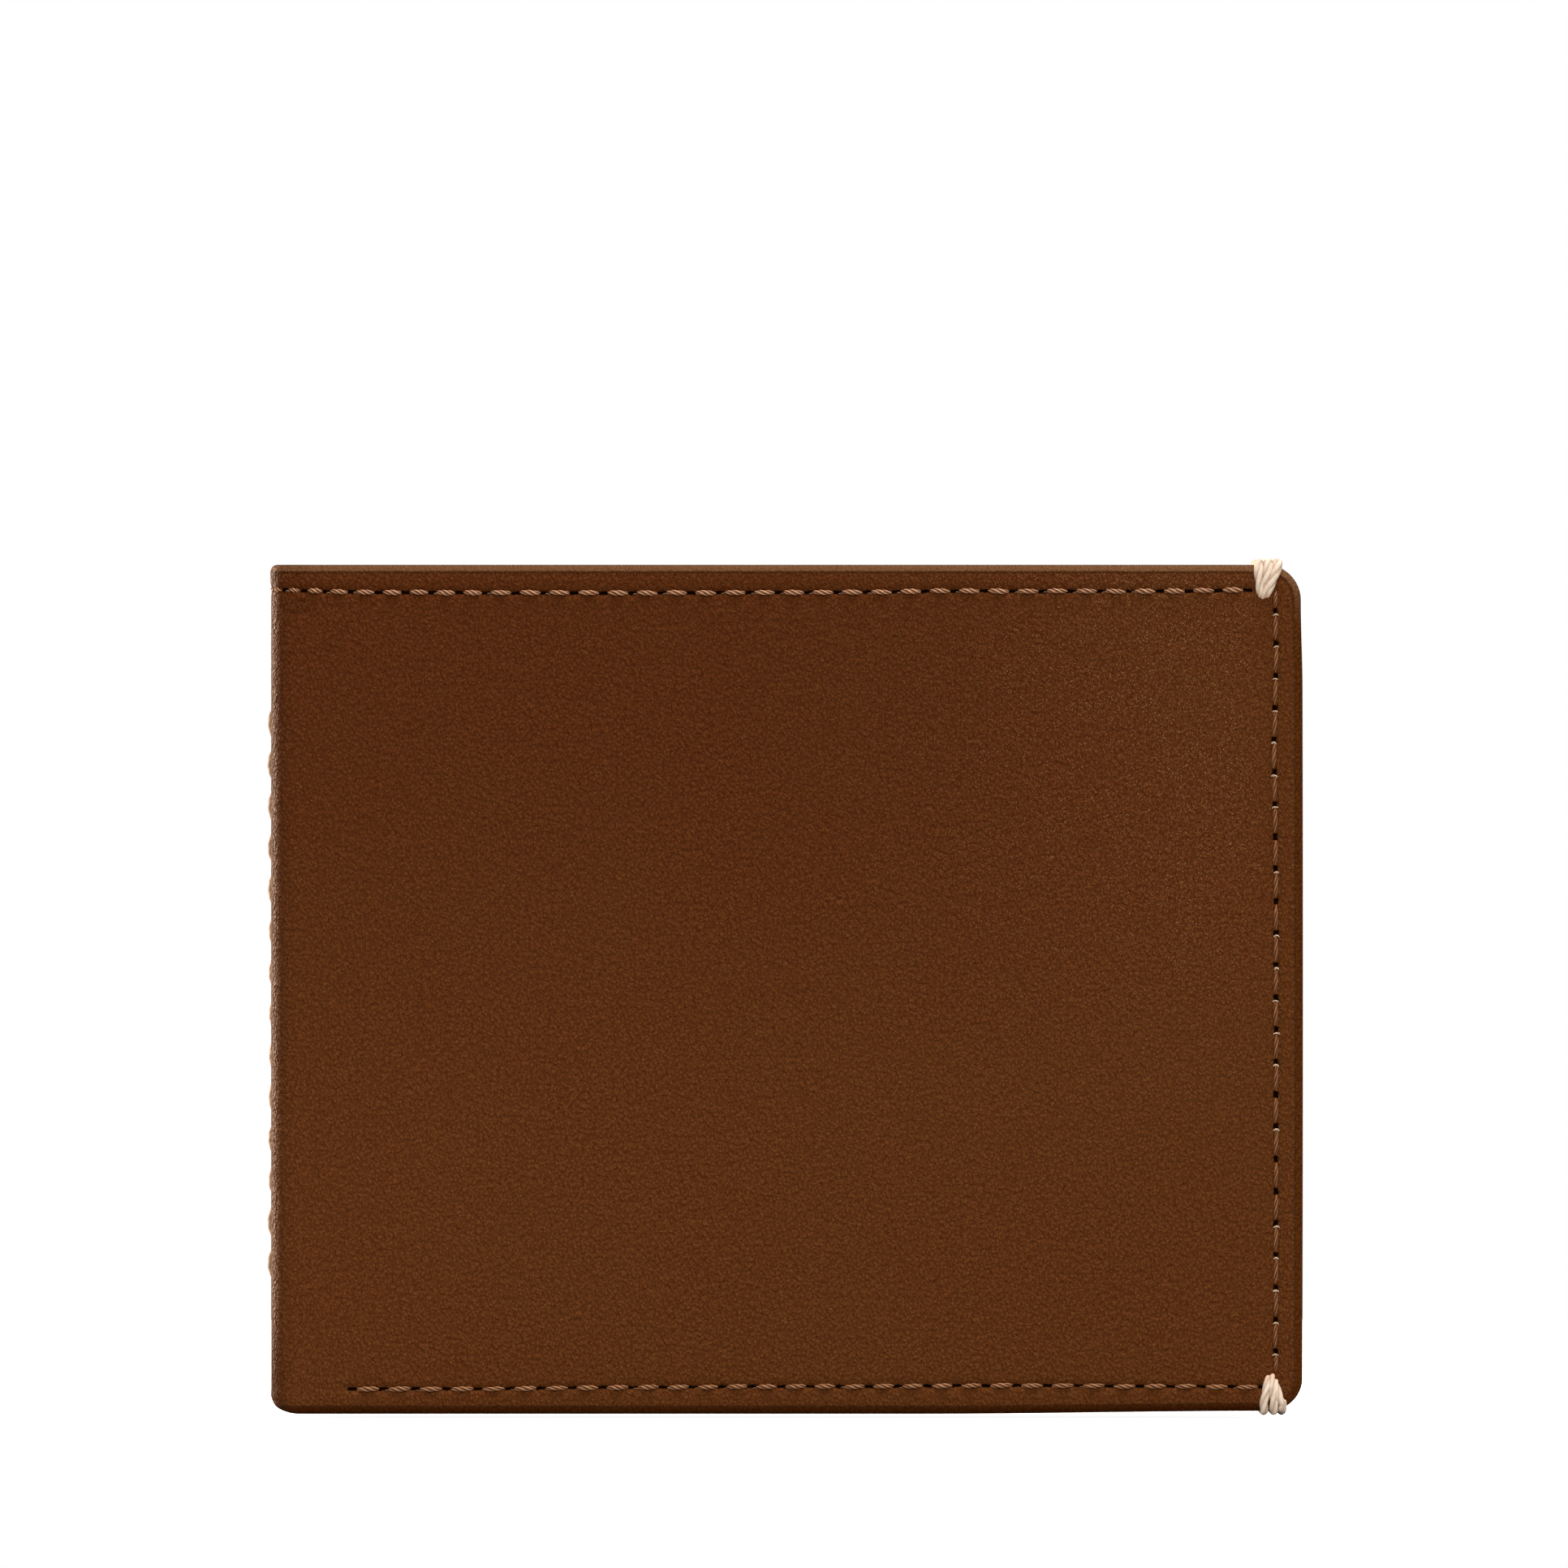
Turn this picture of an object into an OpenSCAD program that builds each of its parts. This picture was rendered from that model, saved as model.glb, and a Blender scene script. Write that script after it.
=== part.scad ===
// Bifold wallet, standing closed on its bottom long edge.
// +X points to the fore edge, +Y to the back cover, +Z up. The spine is at -X.
// The origin is at the middle of the bottom edge. Millimetres.

/* [Wallet] */
// Width of the closed wallet, from the spine to the fore edge
wallet_w = 108; // [104:1:116]
// Height of the wallet, from the bottom edge to the top edge
wallet_h = 89; // [87:1:96]
// Corner radius of the covers at the fore edge
corner_r = 4; // [2:0.5:5]
// Outer radius of the leather at each fold beside the spine
fold_r = 2; // [1.7:0.1:2.6]
// Space left between the two closed halves
half_clearance = 0.8; // [0.6:0.1:1.6]

/* [Leather and lining] */
// Thickness of the cover leather
leather_t = 1.2; // [0.9:0.1:1.4]
// Thickness of the reinforcement board behind each cover
board_t = 0.4; // [0.3:0.1:0.6]
// Thickness of the lining fabric
lining_t = 0.3; // [0.2:0.05:0.4]
// Thickness of the leather that the pockets are sewn to
base_t = 0.7; // [0.5:0.1:0.9]
// Thickness of a card pocket facing
facing_t = 0.5; // [0.4:0.05:0.6]

/* [Pockets] */
// Depth of the bill compartment in each half
bill_gap = 1.0; // [0.9:0.05:1.4]
// Depth of each card slot
card_gap = 0.8; // [0.8:0.02:0.9]
// Height of the inner panel, which ends below the top edge of the cover
panel_h = 85; // [84:0.5:86]
// Height of the highest card pocket's mouth
mouth_z = 76; // [74:0.5:78]
// Drop from one card pocket's mouth to the next
mouth_step = 12; // [11:0.5:13]
// Depth of a card slot below its mouth
slot_depth = 48.4; // [46:0.2:49]
// Width of the sewn margins
seam_w = 3; // [2.5:0.25:3.5]

/* [Stitching] */
// Thickness of the sewing thread
thread_d = 0.64; // [0.5:0.02:0.8]
// Visible length of a stitch
stitch_l = 2.1; // [1.6:0.1:2.4]
// Pitch of the stitches along the top edge
top_pitch = 3.03; // [2.8:0.01:3.6]
// Pitch of the stitches along the fore edge
fore_pitch = 3.37; // [2.8:0.01:3.6]
// Pitch of the stitches along the bottom edge
bottom_pitch = 3.14; // [2.8:0.01:3.6]
// Distance of the top and fore edge stitch lines from the edge
line_inset = 2.8; // [2.6:0.1:3.4]
// Distance of the bottom stitch line from the edge
bottom_inset = 2.6; // [2.4:0.1:3.2]
// Distance from the spine to the start of the bottom stitch line
bottom_start = 8.4; // [7:0.2:12]

/* [Thick thread] */
// Thickness of the thick thread on the spine
cord_d = 1.0; // [0.8:0.05:1.1]
// How many stitches run down the spine
spine_stitches = 14; // [8:1:14]
// Pitch of the spine stitches
spine_pitch = 4.37; // [4.2:0.01:4.5]
// Visible length of a spine stitch
spine_stitch_l = 3.8; // [3:0.1:3.9]
// Thickness of a strand of the corner tacks
tack_d = 0.8; // [0.6:0.05:0.85]
// How many strands each corner tack has
tack_strands = 3; // [2:1:3]

/* [Hidden] */

leather = [0.34, 0.18, 0.08];
lining = [0.20, 0.12, 0.08];
board = [0.62, 0.50, 0.36];
thread = [0.60, 0.44, 0.30];
cord = [0.92, 0.85, 0.75];

// Depths of the layers of one half, measured inward from the outer surface
d_board = leather_t;
d_lining = d_board + board_t;
d_bill = d_lining + lining_t;
d_bill_lining = d_bill + bill_gap;
d_slip = d_bill_lining + lining_t;
d_base = d_slip + card_gap;
d_slot1 = d_base + base_t;
d_face1 = d_slot1 + card_gap;
d_slot2 = d_face1 + facing_t;
d_face2 = d_slot2 + card_gap;
d_slot3 = d_face2 + facing_t;
d_face3 = d_slot3 + card_gap;
d_end = d_face3 + facing_t;
wallet_t = 2 * d_end + half_clearance;

x_spine = -wallet_w / 2;
x_fore = wallet_w / 2;
x_flat = x_spine + fold_r;            // where each cover starts to turn into the spine
y_flat = wallet_t / 2 - fold_r;       // where the spine starts to turn into a cover
inner_x0 = x_spine + 8.25;            // fold side of the pockets
inner_x1 = x_fore - 0.8;              // fore edge side of the inner layers
low = 0.6;                            // bottom of the inner layers
inner_r = max(corner_r - 0.6, 1);      // lower corner of the inner layers at the fore edge
split = 0.6;                          // half the angle left open where a cover meets the spine
top_z = wallet_h - line_inset;
fore_x = x_fore - line_inset;
groove_w = thread_d + 0.16;
groove_d = 0.45;
tack_x = x_fore - 3.6;
tack_low_x = x_fore - 3.1;
tack_step = tack_d + 0.1;
tack_half = (tack_strands - 1) / 2 * tack_step + tack_d / 2 + 0.06;
tack_top_z = panel_h + 0.6;
tack_low_z = 4.2;

// A plate in one half, from depth d0 to d1. s is 1 for the back half and -1 for the front half
// r rounds both corners at the fore edge, and rb only the lower one
module plate(s, d0, d1, x0, x1, z0, z1, r = 0, rb = 0) {
  ya = s > 0 ? wallet_t / 2 - d1 : -wallet_t / 2 + d0;
  translate([0, ya + (d1 - d0), 0]) rotate([90, 0, 0]) linear_extrude(height = d1 - d0)
    if (r > 0) union() {
      translate([x0, z0]) square([x1 - r - x0, z1 - z0]);
      translate([x1 - r - 0.5, z0 + r]) square([r + 0.5, z1 - z0 - 2 * r]);
      translate([x1 - r, z0 + r]) circle(r = r, $fn = 64);
      translate([x1 - r, z1 - r]) circle(r = r, $fn = 64);
    } else if (rb > 0) union() {
      translate([x0, z0]) square([x1 - rb - x0, z1 - z0]);
      translate([x1 - rb - 0.5, z0 + rb]) square([rb + 0.5, z1 - z0 - rb]);
      translate([x1 - rb, z0 + rb]) circle(r = rb, $fn = 64);
    } else translate([x0, z0]) square([x1 - x0, z1 - z0]);
}

// A box in one half, for grooves and notches
module block(s, d0, d1, x0, x1, z0, z1) {
  ya = s > 0 ? wallet_t / 2 - d1 : -wallet_t / 2 + d0;
  translate([x0, ya, z0]) cube([x1 - x0, d1 - d0, z1 - z0]);
}

// One stitch: a bar of thread with tapered ends, along +Z and centred
module stitch(d, l) {
  r = d / 2;
  rotate_extrude($fn = 24)
    polygon([[0, -l / 2], [r * 0.45, -l / 2], [r, -l / 2 + r * 0.8], [r, l / 2 - r * 0.8], [r * 0.45, l / 2], [0, l / 2]]);
}

// A row of stitches in one half, from a to b along X at height z, or along Z at place x
module row_x(s, a, b, z, pitch) {
  n = floor((b - a) / pitch);
  for (i = [0 : n - 1]) translate([a + (i + 0.5) * pitch, s * (wallet_t / 2 - 0.11), z])
    rotate([0, 90, 0]) stitch(thread_d, stitch_l);
}
module row_z(s, x, a, b, pitch) {
  n = floor((b - a) / pitch);
  for (i = [0 : n - 1]) translate([x, s * (wallet_t / 2 - 0.11), a + (i + 0.5) * pitch])
    stitch(thread_d, stitch_l);
}

// The quarter turn of the leather at one fold, as the share of it from angle a to angle b
module turn(s, a, b) {
  mirror([0, s > 0 ? 0 : 1, 0]) translate([x_flat, y_flat, 0]) rotate([0, 0, a])
    rotate_extrude(angle = b - a, $fn = 96) translate([fold_r - leather_t, 0]) square([leather_t, wallet_h]);
}

module cover(s) color(leather) difference() {
  union() {
    plate(s, 0, leather_t, x_flat, x_fore, 0, wallet_h, corner_r);
    turn(s, 90, 135 - split);
  }
  // grooves that the stitch lines lie in
  block(s, -1, groove_d, x_flat + 0.4, tack_x, top_z - groove_w / 2, top_z + groove_w / 2);
  block(s, -1, groove_d, fore_x - groove_w / 2, fore_x + groove_w / 2, tack_low_z - 0.5, top_z);
  block(s, -1, groove_d, x_spine + bottom_start, tack_low_x, bottom_inset - groove_w / 2, bottom_inset + groove_w / 2);
  // recesses that the corner tacks lie in
  block(s, -1, tack_d / 2 + 0.15, tack_x - tack_half, tack_x + tack_half, tack_top_z - 0.1, wallet_h + 1);
  block(s, -1, leather_t + 1, tack_x - tack_half, tack_x + tack_half, wallet_h - 0.55, wallet_h + 1);
  block(s, -1, tack_d / 2 + 0.15, tack_low_x - tack_half, tack_low_x + tack_half, -1, tack_low_z + 0.1);
  block(s, -1, leather_t + 1, tack_low_x - tack_half, tack_low_x + tack_half, -1, 0.55);
}

module reinforcement(s) color(board)
  plate(s, d_board, d_lining, x_spine + 4, x_fore - 1, 1, wallet_h - 1, max(corner_r - 1, 1));

module cover_lining(s) color(lining)
  plate(s, d_lining, d_bill, x_spine + 3, inner_x1, low, wallet_h - 1.2, max(corner_r - 0.8, 1));

module bill_lining(s) color(lining)
  plate(s, d_bill_lining, d_slip, x_spine + 3.5, inner_x1, low, panel_h, rb = inner_r);

module pocket_base(s) color(leather)
  plate(s, d_base, d_slot1, inner_x0, inner_x1, low, panel_h, rb = inner_r);

// The card pockets are numbered from the highest mouth, which is the deepest layer
module card_pocket(s, k) {
  d0 = [d_face1, d_face2, d_face3][k - 1];
  z1 = mouth_z - (k - 1) * mouth_step;
  z0 = k == 3 ? low : z1 - slot_depth - seam_w;
  color(leather) difference() {
    plate(s, d0, d0 + facing_t, inner_x0, inner_x1, z0, z1, rb = k == 3 ? inner_r : 0);
    if (k == 3) block(s, d0 - 1, d0 + 1, tack_low_x - tack_half, tack_low_x + tack_half, -1, tack_low_z + 0.1);
  }
}

// A vertical strip of margin at the fore edge, rounded with the corner if it reaches the bottom seam
module fore_strip(s, d0, d1, z0, z1) {
  fx = inner_x1 - seam_w;
  if (z0 < low + inner_r) intersection() {
    plate(s, d0, d1, fx, inner_x1, z0, z1);
    plate(s, d0 - 1, d1 + 1, fx - 20, inner_x1, low, z1 + 10, rb = inner_r);
  } else plate(s, d0, d1, fx, inner_x1, z0, z1);
}

// Folded margins that hold the layers apart along the sewn edges
module margins(s) color(leather) {
  g = 0.05;
  xb = inner_x1 - seam_w - g;         // the bottom strips stop short of the fore edge strips
  plate(s, d_bill, d_bill_lining, x_spine + 4, xb, low, low + seam_w);
  fore_strip(s, d_bill, d_bill_lining, low, panel_h);
  plate(s, d_slip, d_base, inner_x0, xb, low, low + seam_w);
  fore_strip(s, d_slip, d_base, low, panel_h - seam_w - g);
  plate(s, d_slip, d_base, inner_x0, inner_x1, panel_h - seam_w, panel_h);
  for (k = [1 : 3]) {
    d0 = [d_slot1, d_slot2, d_slot3][k - 1];
    z1 = mouth_z - (k - 1) * mouth_step;
    z0 = k == 3 ? low : z1 - slot_depth - seam_w;
    difference() {
      plate(s, d0, d0 + card_gap, inner_x0, xb, z0, z0 + seam_w);
      if (k == 3) tack_room(s);
    }
    difference() {
      fore_strip(s, d0, d0 + card_gap, z0, z1);
      if (k == 3) tack_room(s);
    }
    plate(s, d0, d0 + card_gap, inner_x0, inner_x0 + seam_w - 0.5, z0 + seam_w + g, z1);
  }
}

// Room for the inner leg of the bottom tack
module tack_room(s)
  block(s, d_end - tack_d - 0.05, d_end + 1, tack_low_x - tack_half, tack_low_x + tack_half, -1, tack_low_z + 0.1);

module top_stitching(s) color(thread) row_x(s, x_flat + 0.45, tack_x - tack_half, top_z, top_pitch);
module fore_edge_stitching(s) color(thread) row_z(s, fore_x, tack_low_z + 0.4, tack_top_z - 0.2, fore_pitch);
module bottom_stitching(s) color(thread) row_x(s, x_spine + bottom_start, tack_low_x - tack_half, bottom_inset, bottom_pitch);

// One strand of a tack: a leg on the outside, a run over the edge and a leg on the inside
module strand(s, x, d_in, z_edge, z_leg) {
  r = tack_d / 2;
  ya = s * (wallet_t / 2 - 0.1);
  yb = s * (wallet_t / 2 - d_in);
  translate([x, ya, min(z_edge, z_leg)]) cylinder(r = r, h = abs(z_edge - z_leg), $fn = 24);
  translate([x, yb, min(z_edge, z_leg)]) cylinder(r = r, h = abs(z_edge - z_leg), $fn = 24);
  translate([x, min(ya, yb), z_edge]) rotate([-90, 0, 0]) cylinder(r = r, h = abs(ya - yb), $fn = 24);
  for (y = [ya, yb]) translate([x, y, z_edge]) sphere(r = r + 0.02, $fn = 24);
}

module top_tack(s) color(cord)
  for (i = [0 : tack_strands - 1])
    strand(s, tack_x + (i - (tack_strands - 1) / 2) * tack_step, d_bill + tack_d / 2 + 0.05, wallet_h - 0.05, tack_top_z);

module bottom_tack(s) color(cord)
  for (i = [0 : tack_strands - 1])
    strand(s, tack_low_x + (i - (tack_strands - 1) / 2) * tack_step, d_end - tack_d / 2 + 0.1, 0.1, tack_low_z);

// The quarter turn's half that belongs to the spine, as a flat shape
module spine_turn(s) mirror([0, s > 0 ? 0 : 1]) translate([x_flat, y_flat]) intersection() {
  difference() {
    circle(r = fold_r, $fn = 96);
    circle(r = fold_r - leather_t, $fn = 96);
  }
  polygon([[0, 0], [-2 * fold_r, 0], [-2 * fold_r, 2 * fold_r], [2 * fold_r * cos(135 + split), 2 * fold_r * sin(135 + split)]]);
}

module spine_cover() color(leather) difference() {
  linear_extrude(height = wallet_h) union() {
    translate([x_spine, -y_flat]) square([leather_t, 2 * y_flat]);
    spine_turn(1);
    spine_turn(-1);
  }
  // groove for the top stitch line, and a channel for the thick thread
  translate([x_spine - 1, -y_flat + 0.2, top_z - groove_w / 2]) cube([1 + groove_d, 2 * y_flat - 0.4, groove_w]);
  translate([x_spine - 1, -cord_d / 2 - 0.1, spine_z0 - spine_pitch / 2])
    cube([1 + cord_d / 2 + 0.1, cord_d + 0.2, spine_stitches * spine_pitch]);
}
spine_z0 = wallet_h / 2 - 0.45 - (spine_stitches - 1) / 2 * spine_pitch;

module spine_lining() color(lining)
  translate([x_spine + leather_t, -y_flat + 1.2, low]) cube([lining_t, 2 * y_flat - 2.4, wallet_h - 1.2 - low]);

module spine_inner_lining() color(lining)
  translate([x_spine + leather_t + lining_t + bill_gap - 0.3, -y_flat + 1.8, low]) cube([lining_t, 2 * y_flat - 3.6, panel_h - low]);

module spine_stitching() color(cord)
  for (i = [0 : spine_stitches - 1])
    translate([x_spine + cord_d / 2 - 0.43, 0, spine_z0 + i * spine_pitch]) stitch(cord_d, spine_stitch_l);

module spine_top_stitching() color(thread) {
  n = floor((2 * y_flat) / 2.75);
  p = 2 * y_flat / n;
  for (i = [0 : n - 1]) translate([x_spine + 0.11, -y_flat + (i + 0.5) * p, top_z])
    rotate([90, 0, 0]) stitch(thread_d, min(stitch_l, p - 0.5));
}

spine_cover();
spine_lining();
spine_inner_lining();
spine_stitching();
spine_top_stitching();
cover(1);  // back_cover
reinforcement(1);  // back_reinforcement
cover_lining(1);  // back_cover_lining
bill_lining(1);  // back_bill_lining
pocket_base(1);  // back_pocket_base
card_pocket(1, 1);  // back_card_pocket_1
card_pocket(1, 2);  // back_card_pocket_2
card_pocket(1, 3);  // back_card_pocket_3
margins(1);  // back_seam_margins
top_stitching(1);  // back_top_stitching
fore_edge_stitching(1);  // back_fore_edge_stitching
bottom_stitching(1);  // back_bottom_stitching
top_tack(1);  // back_top_tack
bottom_tack(1);  // back_bottom_tack
cover(-1);  // front_cover
reinforcement(-1);  // front_reinforcement
cover_lining(-1);  // front_cover_lining
bill_lining(-1);  // front_bill_lining
pocket_base(-1);  // front_pocket_base
card_pocket(-1, 1);  // front_card_pocket_1
card_pocket(-1, 2);  // front_card_pocket_2
card_pocket(-1, 3);  // front_card_pocket_3
margins(-1);  // front_seam_margins
top_stitching(-1);  // front_top_stitching
fore_edge_stitching(-1);  // front_fore_edge_stitching
bottom_stitching(-1);  // front_bottom_stitching
top_tack(-1);  // front_top_tack
bottom_tack(-1);  // front_bottom_tack
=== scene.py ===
import math

import bmesh
import bpy
import numpy as np
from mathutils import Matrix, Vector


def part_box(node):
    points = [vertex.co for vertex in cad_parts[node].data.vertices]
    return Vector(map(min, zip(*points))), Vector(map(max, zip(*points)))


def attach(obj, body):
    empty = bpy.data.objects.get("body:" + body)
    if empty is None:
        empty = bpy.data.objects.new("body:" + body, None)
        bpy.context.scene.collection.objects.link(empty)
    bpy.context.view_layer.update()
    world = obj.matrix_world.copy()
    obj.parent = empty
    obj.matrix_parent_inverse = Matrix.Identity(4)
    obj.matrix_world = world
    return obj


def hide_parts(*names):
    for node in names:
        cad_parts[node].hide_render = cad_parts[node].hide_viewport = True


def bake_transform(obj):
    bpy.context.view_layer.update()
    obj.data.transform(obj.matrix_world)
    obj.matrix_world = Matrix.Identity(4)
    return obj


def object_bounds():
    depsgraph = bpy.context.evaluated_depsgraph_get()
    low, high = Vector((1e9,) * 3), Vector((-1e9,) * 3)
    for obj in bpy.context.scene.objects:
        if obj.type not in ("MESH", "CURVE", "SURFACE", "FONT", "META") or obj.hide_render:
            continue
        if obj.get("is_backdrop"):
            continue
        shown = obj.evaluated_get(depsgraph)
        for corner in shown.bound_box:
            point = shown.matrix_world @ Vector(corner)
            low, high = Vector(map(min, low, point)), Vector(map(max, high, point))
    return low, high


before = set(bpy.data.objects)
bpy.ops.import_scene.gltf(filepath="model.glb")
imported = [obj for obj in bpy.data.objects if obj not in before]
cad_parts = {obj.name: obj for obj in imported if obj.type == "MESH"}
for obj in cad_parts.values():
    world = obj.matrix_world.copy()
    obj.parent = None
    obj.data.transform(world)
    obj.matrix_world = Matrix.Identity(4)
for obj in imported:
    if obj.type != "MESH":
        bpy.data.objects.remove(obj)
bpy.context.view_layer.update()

MM = 0.001
rng = np.random.default_rng(7)

# ---------------------------------------------------------------- sizes, from the frame (mm)
lo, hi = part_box("back_cover")
W2, H, T2 = hi.x * 1000, hi.z * 1000, hi.y * 1000
slo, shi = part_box("spine_cover")
T2 = round(T2, 3)
LE = 1.2                       # leather thickness
RF = 2.0                       # outer radius of the fold
XF, YF = -W2 + RF, T2 - RF     # where the flat panel and the flat spine start
S1 = W2 - XF                   # along the leather, from the fore edge: start of the turn
S2 = S1 + math.pi / 2 * RF     # end of the turn
S3 = S2 + YF                   # middle of the spine
CR, CRT = 3.5, 3.7              # corner radii at the fore edge, lower and upper
PLO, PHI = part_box("back_pocket_base")
X0, X1 = PLO.x * 1000, PHI.x * 1000
ZB, ZP = PLO.z * 1000, PHI.z * 1000


def layer(node):
    """Depths of a back-half node below the outer surface, and its x and z limits, in mm."""
    a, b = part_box(node)
    return T2 - b.y * 1000, T2 - a.y * 1000, a.x * 1000, b.x * 1000, a.z * 1000, b.z * 1000


def sstep(a, b, x):
    t = np.clip((np.asarray(x, float) - a) / (b - a), 0, 1)
    return t * t * (3 - 2 * t)


# ---------------------------------------------------------------- maps
def lean(z):
    """How far the spine's own edge draws in at the bottom, and flares at the top."""
    z = np.asarray(z, float)
    q = np.clip(1 - z / 2.3, 0, 1)
    low = 1.9 * (1 - np.sqrt(np.clip(1 - q * q, 0, 1)))
    q2 = np.clip(1 - (H - z) / 0.45, 0, 1)
    top = 0.30 * (1 - np.sqrt(np.clip(1 - q2 * q2, 0, 1)))
    flare = -0.08 * np.exp(-((H - z - 0.75) / 0.8) ** 2)
    return low + top + flare - 0.06


def leather_map(side, s, z, t):
    """(s along the leather from the fore edge, z, t depth below its outer surface) to x, y, z in mm."""
    s, z, t = np.broadcast_arrays(np.asarray(s, float), np.asarray(z, float), np.asarray(t, float))
    phi = np.clip((s - S1) / RF, 0, math.pi / 2)
    x = np.where(s <= S1, W2 - s, XF - (RF - t) * np.sin(phi))
    y = np.where(s <= S1, T2 - t, YF + (RF - t) * np.cos(phi))
    y = np.where(s > S2, YF - (s - S2), y)
    x = np.where(s > S2, -W2 + t, x)
    w = sstep(S1 - 3.0, S2, s)
    x = x + lean(z) * w
    # the fore edge bulges a little, and the bottom edge rises a little towards the fore edge
    x = x + (0.04 + 0.07 * np.sin(math.pi * np.clip(z / H, 0, 1))) * (1 - sstep(0, 7, s))
    x = x - 0.16 * sstep(H - 13, H - 4, z) * (1 - sstep(0, 7, s))
    z = z + 0.30 * sstep(14, 50, x) * (1 - sstep(0, 9, z))
    return np.stack([x, side * y, z], -1)


def pinch(x, z):
    """Share of the inner layers' depth that is left near the sewn edges."""
    e = np.minimum(np.minimum(W2 - x, z), 60)
    f = np.clip(x - X0, 0, 60)
    return 1 - 0.17 * (1 - sstep(0, 11, e)) - 0.06 * (1 - sstep(0, 8, f))


def half_map(side, x, z, d):
    """(x, z, d depth below the cover's outer surface) in one half, for the inner layers."""
    x, z, d = np.broadcast_arrays(np.asarray(x, float), np.asarray(z, float), np.asarray(d, float))
    base = 1.9
    dd = np.where(d > base, base + (d - base) * pinch(x, z), d)
    return np.stack([x, side * (T2 - dd), z], -1)


# ---------------------------------------------------------------- mesh helpers
def build(name, verts, faces, tex=None, edge=None, pos2=None, mat=None, fix=True):
    me = bpy.data.meshes.new(name)
    verts = np.asarray(verts, float) * MM
    faces = np.asarray(faces)
    if isinstance(faces, np.ndarray) and faces.ndim == 2 and faces.dtype != object:
        n, k = faces.shape
        me.vertices.add(len(verts))
        me.vertices.foreach_set("co", verts.astype(np.float32).ravel())
        me.loops.add(n * k)
        me.loops.foreach_set("vertex_index", faces.astype(np.int32).ravel())
        me.polygons.add(n)
        me.polygons.foreach_set("loop_start", np.arange(0, n * k, k, dtype=np.int32))
        me.update(calc_edges=True)
        me.validate()
    else:
        me.from_pydata([tuple(v) for v in verts], [], [tuple(f) for f in faces])
    for key, val, kind in (("tex", tex, "FLOAT_VECTOR"), ("pos2", pos2, "FLOAT_VECTOR"), ("edge", edge, "FLOAT")):
        if val is not None:
            at = me.attributes.new(key, kind, "POINT")
            at.data.foreach_set("vector" if kind == "FLOAT_VECTOR" else "value", np.asarray(val, np.float32).ravel())
    if fix:
        bm = bmesh.new()
        bm.from_mesh(me)
        bmesh.ops.recalc_face_normals(bm, faces=bm.faces)
        bm.to_mesh(me)
        bm.free()
    me.polygons.foreach_set("use_smooth", np.ones(len(me.polygons), bool))
    ob = bpy.data.objects.new(name, me)
    bpy.context.scene.collection.objects.link(ob)
    if mat is not None:
        me.materials.append(mat)
    return ob


def shell_faces(nu, nv):
    """Quads of a closed plate made of two nu by nv grids, the second one after the first."""
    i, j = np.meshgrid(np.arange(nu - 1), np.arange(nv - 1), indexing="ij")
    a = (i * nv + j).ravel()
    top = np.stack([a, a + 1, a + nv + 1, a + nv], 1)
    off = nu * nv
    bot = top[:, ::-1] + off
    rim = []
    jj = np.arange(nv - 1)
    rim.append(np.stack([jj, jj + off, jj + 1 + off, jj + 1], 1))
    k = (nu - 1) * nv + jj
    rim.append(np.stack([k + 1, k + 1 + off, k + off, k], 1))
    ii = np.arange(nu - 1) * nv
    rim.append(np.stack([ii + nv, ii + nv + off, ii + off, ii], 1))
    k = np.arange(nu - 1) * nv + nv - 1
    rim.append(np.stack([k, k + off, k + nv + off, k + nv], 1))
    return np.concatenate([top, bot] + rim)


def lines(a, b, step, fine=()):
    """Grid lines from a to b, about step apart, closer near both ends and near the places in fine."""
    near = [0, 0.06, 0.14, 0.24, 0.36, 0.5, 0.68, 0.88, 1.1, 1.4]
    L = b - a
    out = [a + q for q in near if q < L / 2] + [b - q for q in near if q < L / 2]
    n = max(1, int(round((L - 2.8) / step)))
    if L > 2.8:
        out += list(np.linspace(a + 1.4, b - 1.4, n + 1))
    for f, r, st in fine:
        if a < f < b:
            out = [q for q in out if abs(q - f) > r or q in (a, b)]
            m = int(round(r / st))
            out += [f + k * st for k in range(-m, m + 1) if a < f + k * st < b]
    out = np.unique(np.round(out, 4))
    keep = [out[0]]
    for q in out[1:]:
        if q - keep[-1] > 0.03:
            keep.append(q)
    keep[-1] = b
    return np.array(keep)


def round_corners(s, ez, r):
    """Moves grid points of a square corner onto a round one. s and ez are distances from the two edges."""
    u = np.clip((r - s) / r, 0, 1)
    v = np.clip((r - ez) / r, 0, 1)
    both = (u > 0) & (v > 0)
    uu = np.where(both, u * np.sqrt(1 - v * v / 2), u)
    vv = np.where(both, v * np.sqrt(1 - u * u / 2), v)
    s2 = np.where(both, r * (1 - uu), s)
    e2 = np.where(both, r * (1 - vv), ez)
    e = np.where(both, r - r * np.hypot(uu, vv), np.minimum(s, ez))
    return s2, e2, e


# ---------------------------------------------------------------- stitch places (mm)
TOP_Z, TOP_S0, TOP_P, TOP_N = 86.2, 5.71, 3.068, 37
FORE_S, FORE_Z0, FORE_P, FORE_N = 2.8, 6.50, 3.375, 23
BOT_Z, BOT_S0, BOT_P, BOT_N = 2.6, 4.15, 3.18, 30
# the hand-kept pitch varies: hole number against place
TOP_K = ((0, 26, 30, 31, 32, 33, 34, 35, 36, 37), (5.71, 85.49, 96.75, 99.55, 102.25, 104.6, 106.6, 108.6, 111.5, 114.6))
BOT_K = ((0, 1, 9, 19, 23, 30), (4.15, 7.34, 33.11, 63.8, 76.47, 99.52))


def top_s(k):
    return np.interp(k, *TOP_K)


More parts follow.
